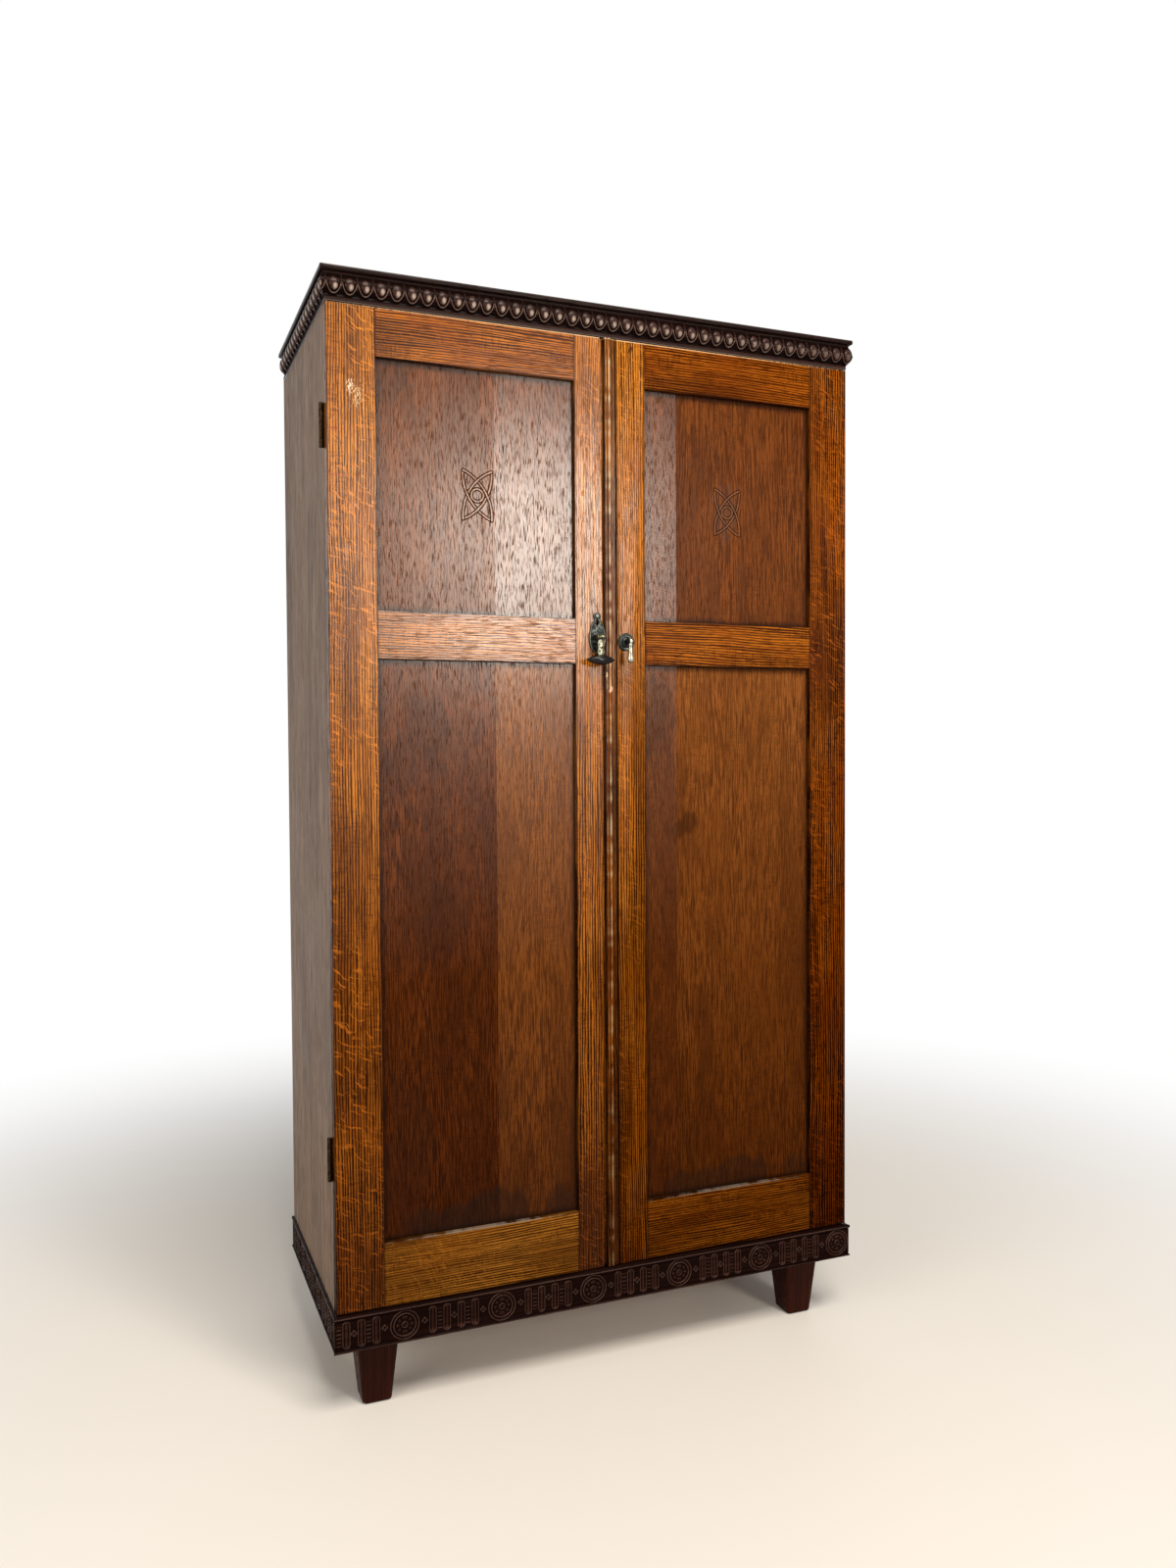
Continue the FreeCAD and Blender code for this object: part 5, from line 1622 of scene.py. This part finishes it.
@dataclass
class Fixings:
    """Slotted screws in the hinges, plates, sockets and batten, and pins round the back panels."""

    head_radius: float = 3.2
    slot: float = 0.9
    proud: float = 0.3
    sunk: float = 0.3
    steps: int = 9
    places: list[tuple[Triple, Facing, float]] = field(default_factory=list)

    def build(self) -> None:
        """Set the screws of each body, and the back's pins."""
        door_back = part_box("left_hinge_stile")[1][1]
        for name in ("left_door", "right_door"):
            self.hinge(f"{name}_hinge_leaves", door_back, Facing.BACK)
            if name == "right_door":
                self.door_plates(door_back)
            self.set_in(f"{name}_screws", name, "hinge_brass", OLD_BRASS)
        self.hinge("case_hinge_leaves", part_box("left_side")[0][1], Facing.FRONT)
        self.inside()
        self.set_in("case_screws", "case", "hinge_brass", OLD_BRASS)
        self.back()
        self.set_in("back_screws_and_pins", "case", "lock_steel", LOCK_STEEL)

    def put(self, xs: Sequence[float], ys: Sequence[float], zs: Sequence[float], facing: Facing,
            radius: float) -> None:
        """Put a screw wherever the given x, y and z meet."""
        self.places += [(place, facing, radius) for place in product(xs, ys, zs)]

    def hinge(self, node: str, face: float, facing: Facing) -> None:
        """Put three screws in each leaf of a node.

        Args:
            node: The node's name.
            face: The leaves' face, as y in metres.
            facing: Which way it looks.
        """
        for low, high in islands(node):
            x = math.copysign(min(abs(low[0]), abs(high[0])) + 6.5 * MM, low[0])
            zs = [low[2] + share * (high[2] - low[2]) for share in (0.14, 0.5, 0.86)]
            self.put([x], [face], zs, facing, 2.9)

    def door_plates(self, door_back: float) -> None:
        """Put a screw in each corner of the bolts' plates, and two in the strike plate."""
        for low, high in islands("bolt_plates"):
            x = (low[0] + high[0]) / 2
            self.put((x - 8 * MM, x + 8 * MM), [door_back + 2 * MM], (low[2] + 5 * MM, high[2] - 5 * MM),
                     Facing.BACK, 2.4)
        low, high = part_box("strike_plate")
        self.put([low[0]], [(low[1] + high[1]) / 2], (low[2] + 5.5 * MM, high[2] - 5.5 * MM),
                 Facing.LEFT, 2.6)

    def inside(self) -> None:
        """Put two screws in each bolt's keeper and four in each socket of the hanging rail."""
        for low, high in islands("bolt_keepers"):
            upper = low[2] > 1.0
            x, y = (low[0] + high[0]) / 2, (low[1] + high[1]) / 2
            self.put((x - 7.5 * MM, x + 7.5 * MM), [y], [low[2] if upper else high[2]],
                     Facing.DOWN if upper else Facing.UP, 2.0)
        for low, high in islands("rail_sockets"):
            left = low[0] < 0
            inset = 6.5 * MM
            self.put([high[0] if left else low[0]], (low[1] + inset, high[1] - inset),
                     (low[2] + inset, high[2] - inset), Facing.RIGHT if left else Facing.LEFT, 3.2)

    def back(self) -> None:
        """Put screws in the batten and pins along the outer edges of the back panels."""
        low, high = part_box("back_batten")
        for index, z in enumerate(np.linspace(low[2] + 30 * MM, high[2] - 30 * MM, 9)):
            x = (low[0] + high[0]) / 2 + (18 if index % 2 else -18) * MM
            self.put([x], [high[1]], [z], Facing.BACK, 3.2)
        for side in ("left", "right"):
            low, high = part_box(f"back_panel_{side}")
            edge = low[0] + 5 * MM if side == "left" else high[0] - 5 * MM
            zs = np.linspace(low[2] + 20 * MM, high[2] - 20 * MM, 14)
            self.put([edge], [high[1]], zs, Facing.BACK, 1.8)
            self.put(np.linspace(low[0] + 40 * MM, high[0] - 40 * MM, 5), [high[1]],
                     (low[2] + 5 * MM, high[2] - 5 * MM), Facing.BACK, 1.8)

    def head(self) -> bpy.types.Object:
        """Make one screw head that looks to the front: two half moons over a dark slot.

        Returns:
            An object that only the node tree uses.
        """
        points, faces, crowns = [], [], []
        steps = self.steps
        for side in (1, -1):
            base = len(points)
            for radius, y in ((self.head_radius, self.sunk), (self.head_radius, -0.4 * self.proud),
                              (self.head_radius - 0.6, -self.proud)):
                start = math.asin(self.slot / 2 / radius)
                points += [(radius * math.cos(turn), y, side * radius * math.sin(turn))
                           for turn in np.linspace(start, math.pi - start, steps)]
            crowns += [0.6] * steps + [PLAIN] * steps + [0.85] * steps
            faces += [(base + r * steps + i, base + r * steps + (i + 1) % steps,
                       base + (r + 1) * steps + (i + 1) % steps, base + (r + 1) * steps + i)
                      for r in range(2) for i in range(steps)]
            faces += [tuple(range(base, base + steps)), tuple(range(base + 2 * steps, base + 3 * steps))]
        floor = self.head_radius - 0.3
        disc, rounds, shades = lathe([(0.0, self.sunk, 0.15), (floor, self.sunk, 0.15), (floor, -0.05, 0.15),
                                      (0.0, -0.05, 0.15)], (0, 0, 0), 1, 16)
        faces += [tuple(index + len(points) for index in face) for face in rounds]
        corners, faces = outward(np.concatenate([np.array(points), disc / MM]), faces)
        mesh = bpy.data.meshes.new("screw_head")
        mesh.from_pydata((corners * MM).tolist(), [], faces)
        store(mesh, "crown", np.array(crowns + shades.tolist()))
        return bpy.data.objects.new("screw_head", mesh)

    def tree(self) -> bpy.types.GeometryNodeTree:
        """Build the node tree that sets a head at each place.

        Returns:
            The tree, with the inputs Places, Head, Radius and Finish.
        """
        tree = named_tree("screws", {
            "Places": "Geometry", "Head": "Object", "Radius": "Float", "Finish": "Material"})
        add = partial(add_node, tree)
        given = add("NodeGroupInput").outputs
        turn, wide = (add("GeometryNodeInputNamedAttribute", {"Name": name}, data_type=kind).outputs[0]
                      for name, kind in (("turn", "FLOAT_VECTOR"), ("radius", "FLOAT")))
        head = add("GeometryNodeObjectInfo", {"Object": given["Head"]}).outputs["Geometry"]
        laid = add("GeometryNodeInstanceOnPoints", {
            "Points": given["Places"], "Instance": head, "Rotation": turn,
            "Scale": add("Math", {0: wide, 1: given["Radius"]}, operation="DIVIDE")})
        real = add("GeometryNodeRealizeInstances", {0: laid})
        dressed = add("GeometryNodeSetMaterial", {"Geometry": real, "Material": given["Finish"]})
        add("NodeGroupOutput", {0: dressed})
        return tree

    def set_in(self, name: str, body: str, slot: str, finish: MetalFinish) -> None:
        """Set the gathered screws into one body as one plain mesh, each with its slot at a slant of its own.

        Args:
            name: The piece's name.
            body: The body that it rides on.
            slot: The record's material slot.
            finish: The screws' metal.
        """
        rng = np.random.default_rng(len(self.places))
        spots = bpy.data.meshes.new(name + "_places")
        spots.from_pydata([place for place, _, _ in self.places], [], [])
        turns = []
        for _, facing, _ in self.places:
            tip, round_up = facing.value
            slant = rng.uniform(0, math.pi)
            turns.append((tip, 0.0, slant) if tip else (0.0, slant, round_up))
        store(spots, "turn", np.array(turns))
        store(spots, "radius", np.array([radius for _, _, radius in self.places]))
        head = self.head()
        made = laid_out(self.tree(), spots, head, {
            "Head": head, "Radius": self.head_radius, "Finish": finish.material()})
        made.name = name
        shade(made, 35)
        fit_piece(name, made, body, slot, finish)
        self.places.clear()


@dataclass
class LeafPull:
    """The left door's pull: a leaf-shaped plate, a pierced stem and a boat-shaped grip.

    The leaf and the strap are given as height over the bottom and half width, in millimetres.
    """

    centre: float = -24.0
    keyhole: float = 1293.0
    leaf: tuple[tuple[float, float], ...] = (
        (0.0, 0.5), (2.4, 3.4), (6.0, 7.4), (11.5, 11.4), (18.5, 14.0), (26.5, 15.0), (34.5, 14.6),
        (42.5, 13.2), (49.0, 11.6), (53.5, 9.4), (57.5, 6.0), (60.5, 4.7), (63.0, 5.6), (66.0, 7.0),
        (69.0, 5.8), (71.0, 3.0), (72.0, 0.5))
    strap: tuple[tuple[float, float], ...] = (
        (0.0, 4.4), (2.5, 5.6), (7.0, 6.2), (11.5, 5.3), (15.5, 5.3), (20.0, 6.2), (24.0, 5.8), (26.5, 3.6))

    def build(self) -> None:
        """Make the plate, the stem and the grip."""
        self.plate()
        self.stem()
        self.grip()

    def grid(self, outline: tuple[tuple[float, float], ...], bottom: float, rows: int,
             columns: int) -> tuple[np.ndarray, ...]:
        """Spread a grid over a shape that is given by its half width at each height.

        Args:
            outline: Height over the bottom, and half width, in millimetres.
            bottom: The shape's bottom in millimetres.
            rows: Rows of corners.
            columns: Columns of corners.

        Returns:
            Share across from minus one to one, x and z in millimetres.
        """
        heights, widths = (np.array(values) for values in zip(*outline))
        up = np.linspace(0, heights[-1], rows)
        soft = np.convolve(np.pad(np.interp(up, heights, widths), 3, "edge"), np.ones(7) / 7, "valid")
        across = np.tile(np.linspace(-1, 1, columns), (rows, 1))
        return across, self.centre + across * soft[:, None], bottom + np.tile(up[:, None], (1, columns))

    def plate(self) -> None:
        """Make the leaf plate with its raised rim, scrolled tip and keyhole."""
        low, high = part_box("left_pull_plate")
        share, x, z = self.grid(self.leaf, low[2] / MM, 118, 43)
        dx, dz = x - self.centre, z - self.keyhole
        rim = np.clip((np.abs(share) - 0.80) / 0.10, 0, 1) * np.clip((1.0 - np.abs(share)) / 0.06, 0.3, 1)
        scroll = round_line(np.hypot(dx / 5.6, (dz - 10.6) / 5.0), 1.0)
        vein = np.clip(1 - np.abs(dx) / 1.1, 0, 1) * (z < self.keyhole - 12)
        diamond = (np.abs(dx) / 5.0 + np.abs(dz + 0.5) / 6.4 < 1) & (scroll <= 0)
        height = np.where(diamond, 0.0, 0.2 + 0.8 * rim + 1.9 * scroll + 0.4 * vein)
        crown = np.where(diamond, 0.12, 0.55 + 0.4 * rim + 0.32 * scroll + 0.2 * vein)
        hole = (np.hypot(dx, dz) < 3.0) | ((np.abs(dx) < 1.4) & (dz < 0) & (dz > -8.6))
        joined = Joinery()
        front = np.stack([x * MM, low[1] - height * MM, z * MM], axis=2)
        joined.add(*sheet(front, high[1], hole, crown, 0.5))
        joined.fit("left_pull_leaf_plate", "left_door", "dark_bronze", DARK_BRONZE, "left_pull_plate", 40)

    def stem(self) -> None:
        """Make the pierced stem under its round eye, with a collar at its foot."""
        low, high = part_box("left_pull_stem")
        left, bottom, right = low[0] / MM, low[2] / MM, high[0] / MM
        share, x, z = self.grid(self.strap, bottom, 54, 27)
        bulge = 0.9 * (1 - share ** 2)
        hole = np.zeros_like(x, dtype=bool)
        # Painted highlight and shade: the stem's left side and the rims of its holes get high crowns, which
        # lay a pale colour, and the rest a low crown, which darkens it.
        crown = np.where(share < -0.4, 0.85, 0.4)
        for side, up in product((-1, 1), (7.4, 18.6)):
            away = np.hypot(x - self.centre - side * 3.0, z - bottom - up)
            hole |= away < 1.9
            crown = np.maximum(crown, np.where(away < 2.8, 0.84, 0.0))
        axis_y = (low[1] + high[1]) / 2
        front = np.stack([x * MM, axis_y - (2.2 + bulge) * MM, z * MM], axis=2)
        joined = Joinery()
        joined.add(*sheet(front, axis_y + 2.2 * MM, hole, crown, 0.3))
        eye = [(0.0, left, 0.3), (3.8, left, 0.35), (4.2, left + 0.4, 0.4), (3.7, self.centre, 0.3),
               (4.2, right - 0.4, 0.4), (3.8, right, 0.35), (0.0, right, 0.3)]
        joined.add(*lathe(eye, (0, axis_y, high[2] - 4.2 * MM), 0, 32))
        collar = [(0.0, bottom - 0.8, 0.5), (3.2, bottom - 0.6, 0.5), (4.3, bottom + 0.6, 0.8),
                  (3.2, bottom + 2.0, 0.7), (0.0, bottom + 2.2, 0.7)]
        joined.add(*lathe(collar, (self.centre * MM, axis_y, 0), 2, 28))
        joined.fit("left_pull_pierced_stem", "left_pull", "pull_brass", PULL_BRASS, "left_pull_stem", 40)

    def grip(self) -> None:
        """Turn the grip, full in the middle and drawn out to a point at each end."""
        low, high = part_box("left_pull_grip")
        centre = middle(low, high)
        half, radius = (high[0] - low[0]) / 2 / MM, (high[2] - low[2]) / 2 / MM
        shares = [-math.cos(math.pi * index / 32) for index in range(33)]
        outline = [(radius * (1 - abs(share) ** 2.1) ** 0.85, centre[0] / MM + half * share, PLAIN)
                   for share in shares]
        joined = Joinery()
        joined.add(*lathe(outline, centre, 0, 40), Plank(Cut.LEVEL, 2))
        joined.fit("left_pull_boat_grip", "left_pull", "ebonised_wood", EBONISED, "left_pull_grip", 60)


@dataclass
class DropPull:
    """The right door's pull: a round rose and a pear drop with its eye.

    Each outline is given as radius, place along its axis in millimetres, and crown. Places are
    measured from the rose's back, the drop's bottom and the eye's middle.
    """

    rose: tuple[Triple, ...] = (
        (0.0, 0.0, 0.4), (15.5, 0.0, 0.3), (15.5, -1.2, 0.3), (15.0, -2.0, 0.4), (14.0, -2.4, 0.75),
        (12.9, -2.1, 0.7), (12.0, -1.7, 0.75), (10.6, -1.6, 0.8), (9.2, -1.9, 0.5), (8.0, -2.8, 0.25),
        (7.4, -3.6, 0.3))
    pear: tuple[Triple, ...] = (
        (0.0, 0.0, 0.4), (2.2, 0.5, 0.6), (4.2, 2.0, 0.85), (5.3, 5.0, 0.9), (5.3, 8.0, 0.9),
        (4.7, 11.0, 0.85), (4.0, 15.0, 0.8), (3.5, 20.0, 0.85), (3.1, 25.0, 0.85), (2.9, 29.0, 0.8),
        (3.2, 31.5, 0.9), (3.0, 34.0, 0.8), (0.0, 34.2, 0.8))
    eye: tuple[Triple, ...] = (
        (0.0, -2.4, 0.8), (3.9, -2.4, 0.9), (4.4, -1.9, 1.0), (4.4, 1.9, 1.0), (3.9, 2.4, 0.9),
        (0.0, 2.4, 0.8))

    def build(self) -> None:
        """Turn the rose and the drop with its eye."""
        low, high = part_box("right_pull_rose")
        back, front = high[1] / MM, low[1] / MM
        outline = [(radius, back + at, crown) for radius, at, crown in self.rose]
        outline += [(6.6, front + 0.3, 0.8), (5.8, front, 0.5), (0.0, front, 0.3)]
        rose = Joinery()
        rose.add(*lathe(outline, middle(low, high), 1, 56))
        rose.fit("right_pull_turned_rose", "right_door", "dark_bronze", DARK_BRONZE, "right_pull_rose", 40)
        low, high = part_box("right_pull_drop")
        x, y, _ = middle(low, high)
        drop = Joinery()
        for outline, start, centre, axis in ((self.pear, low[2], (x, y, 0), 2),
                                             (self.eye, x, (0, y, high[2] - 4.1 * MM), 0)):
            placed = [(radius, start / MM + at, crown) for radius, at, crown in outline]
            drop.add(*lathe(placed, centre, axis, 32))
        drop.fit("right_pull_pear_drop", "right_pull", "pull_brass", PULL_BRASS, "right_pull_drop", 50)


@dataclass
class Studio:
    """The floor, the lamps and the camera."""

    floor_half: float = 30.0
    lamps: tuple[tuple, ...] = (
        ("front_softbox", (1.45, -4.6, 2.2), (-0.1, -0.2, 1.4), 1.0, 1.1, 95.0),
        ("top_softbox", (0.1, -2.9, 4.6), (0.0, -0.2, 1.2), 2.4, 1.6, 215.0),
        ("left_fill", (-3.6, -1.6, 2.0), (-0.3, 0.0, 0.9), 2.6, 2.0, 74.0))
    stand: Triple = (-0.812, -2.1003, 1.077)
    turns: Triple = (22.19, -1.67, -0.31)
    lens: float = 27.42

    def build(self) -> None:
        """Make the stage."""
        self.floor()
        self.world()
        for lamp in self.lamps:
            self.lamp(*lamp)
        self.camera()

    def seen(self, add: Adder) -> Node:
        """Find what the camera, clear reflections and glass see."""
        path = add("LightPath").outputs
        clear = add("Math", {0: path["Is Glossy Ray"], 1: path["Is Transmission Ray"]}, operation="MAXIMUM")
        return add("Math", {0: path["Is Camera Ray"], 1: clear}, operation="MAXIMUM")

    def floor(self) -> None:
        """Make the pale floor, which fades into the background away from the shadow."""
        mesh = bpy.data.meshes.new("studio_floor")
        half = self.floor_half
        corners = [(-half, -half, 0), (half, -half, 0), (half, half, 0), (-half, half, 0)]
        mesh.from_pydata(corners, [], [(0, 1, 2, 3)])
        material = bpy.data.materials.new("painted studio floor, pale")
        add = wiring(material)
        place = add("TexCoord").outputs["Object"]
        speck = add("TexNoise", {"Vector": place, "Scale": 60.0, "Detail": 3.0})
        surface = add("BsdfPrincipled", {
            "Base Color": linear("#e4e2de"), "Roughness": add("MapRange", {0: speck, 3: 0.5, 4: 0.62})})
        flat = add("VectorMath", {0: place, 1: (1.0, 1.0, 0.0)}, operation="MULTIPLY")
        reach = add("VectorMath", {0: flat}, operation="LENGTH")
        fade = add("MapRange", {0: reach, 1: 0.7, 2: 2.6}, **SMOOTH)
        white = add("Math", {0: fade, 1: self.seen(add)}, operation="MULTIPLY")
        glow = add("Emission", {"Color": (1, 1, 1, 1), "Strength": 1.0})
        add("OutputMaterial", {"Surface": add("MixShader", {0: white, 1: surface, 2: glow})})
        mesh.materials.append(material)
        floor = bpy.data.objects.new("studio_floor", mesh)
        bpy.context.scene.collection.objects.link(floor)

    def world(self) -> None:
        """Give an even pale room, white where the camera and clear reflections see it."""
        world = bpy.data.worlds.new("studio_world")
        add = wiring(world)
        plain = add("Background", {"Color": linear("#e9e7e3"), "Strength": 0.28})
        white = add("Background", {"Color": (1, 1, 1, 1), "Strength": 1.0})
        add("OutputWorld", {"Surface": add("MixShader", {0: self.seen(add), 1: plain, 2: white})})
        bpy.context.scene.world = world

    def lamp(self, name: str, place: Triple, aim: Triple, width: float, height: float, power: float) -> None:
        """Hang one soft rectangular lamp.

        Args:
            name: Its name.
            place: Where it hangs, in metres.
            aim: What it looks at.
            width: Its width.
            height: Its height.
            power: Its power in watts.
        """
        data = bpy.data.lights.new(name, "AREA")
        data.shape = "RECTANGLE"
        data.size, data.size_y = width, height
        data.energy = power
        data.color = linear("#fff4e6")[:3]
        lamp = bpy.data.objects.new(name, data)
        lamp.location = place
        lamp.rotation_mode = "QUATERNION"
        lamp.rotation_quaternion = (Vector(aim) - Vector(place)).to_track_quat("-Z", "Y")
        bpy.context.scene.collection.objects.link(lamp)

    def camera(self) -> None:
        """Stand the camera where the photograph was taken from."""
        yaw, pitch, roll = (math.radians(angle) for angle in self.turns)
        ahead = Vector((math.sin(yaw) * math.cos(pitch), math.cos(yaw) * math.cos(pitch), math.sin(pitch)))
        right = Vector((math.cos(yaw), -math.sin(yaw), 0))
        above = right.cross(ahead)
        across = right * math.cos(roll) + above * math.sin(roll)
        up = above * math.cos(roll) - right * math.sin(roll)
        data = bpy.data.cameras.new("photo_camera")
        data.sensor_width = 36.0
        data.lens = self.lens
        camera = bpy.data.objects.new("photo_camera", data)
        turn = Matrix((across, up, -ahead)).transposed().to_4x4()
        camera.matrix_world = Matrix.Translation(self.stand) @ turn
        bpy.context.scene.collection.objects.link(camera)
        bpy.context.scene.camera = camera


def main() -> None:
    """Build the wardrobe's sub-assemblies in order."""
    logging.basicConfig(level=logging.INFO, format="%(name)s %(message)s")
    bpy.context.scene.view_settings.view_transform = "Standard"
    for part in (Studio(), Case(), Cornice(), Plinth(),
                 Door("left", LEFT_BOARDS, -202.6, (-231.9, 1494.8), 0.92),
                 Door("right", RIGHT_BOARDS, 131.5, (233.5, 1498.5), 0.83),
                 MeetingMoulding(), Ironmongery(), Fixings(), LeafPull(), DropPull()):
        part.build()


if __name__ == "__main__":
    main()
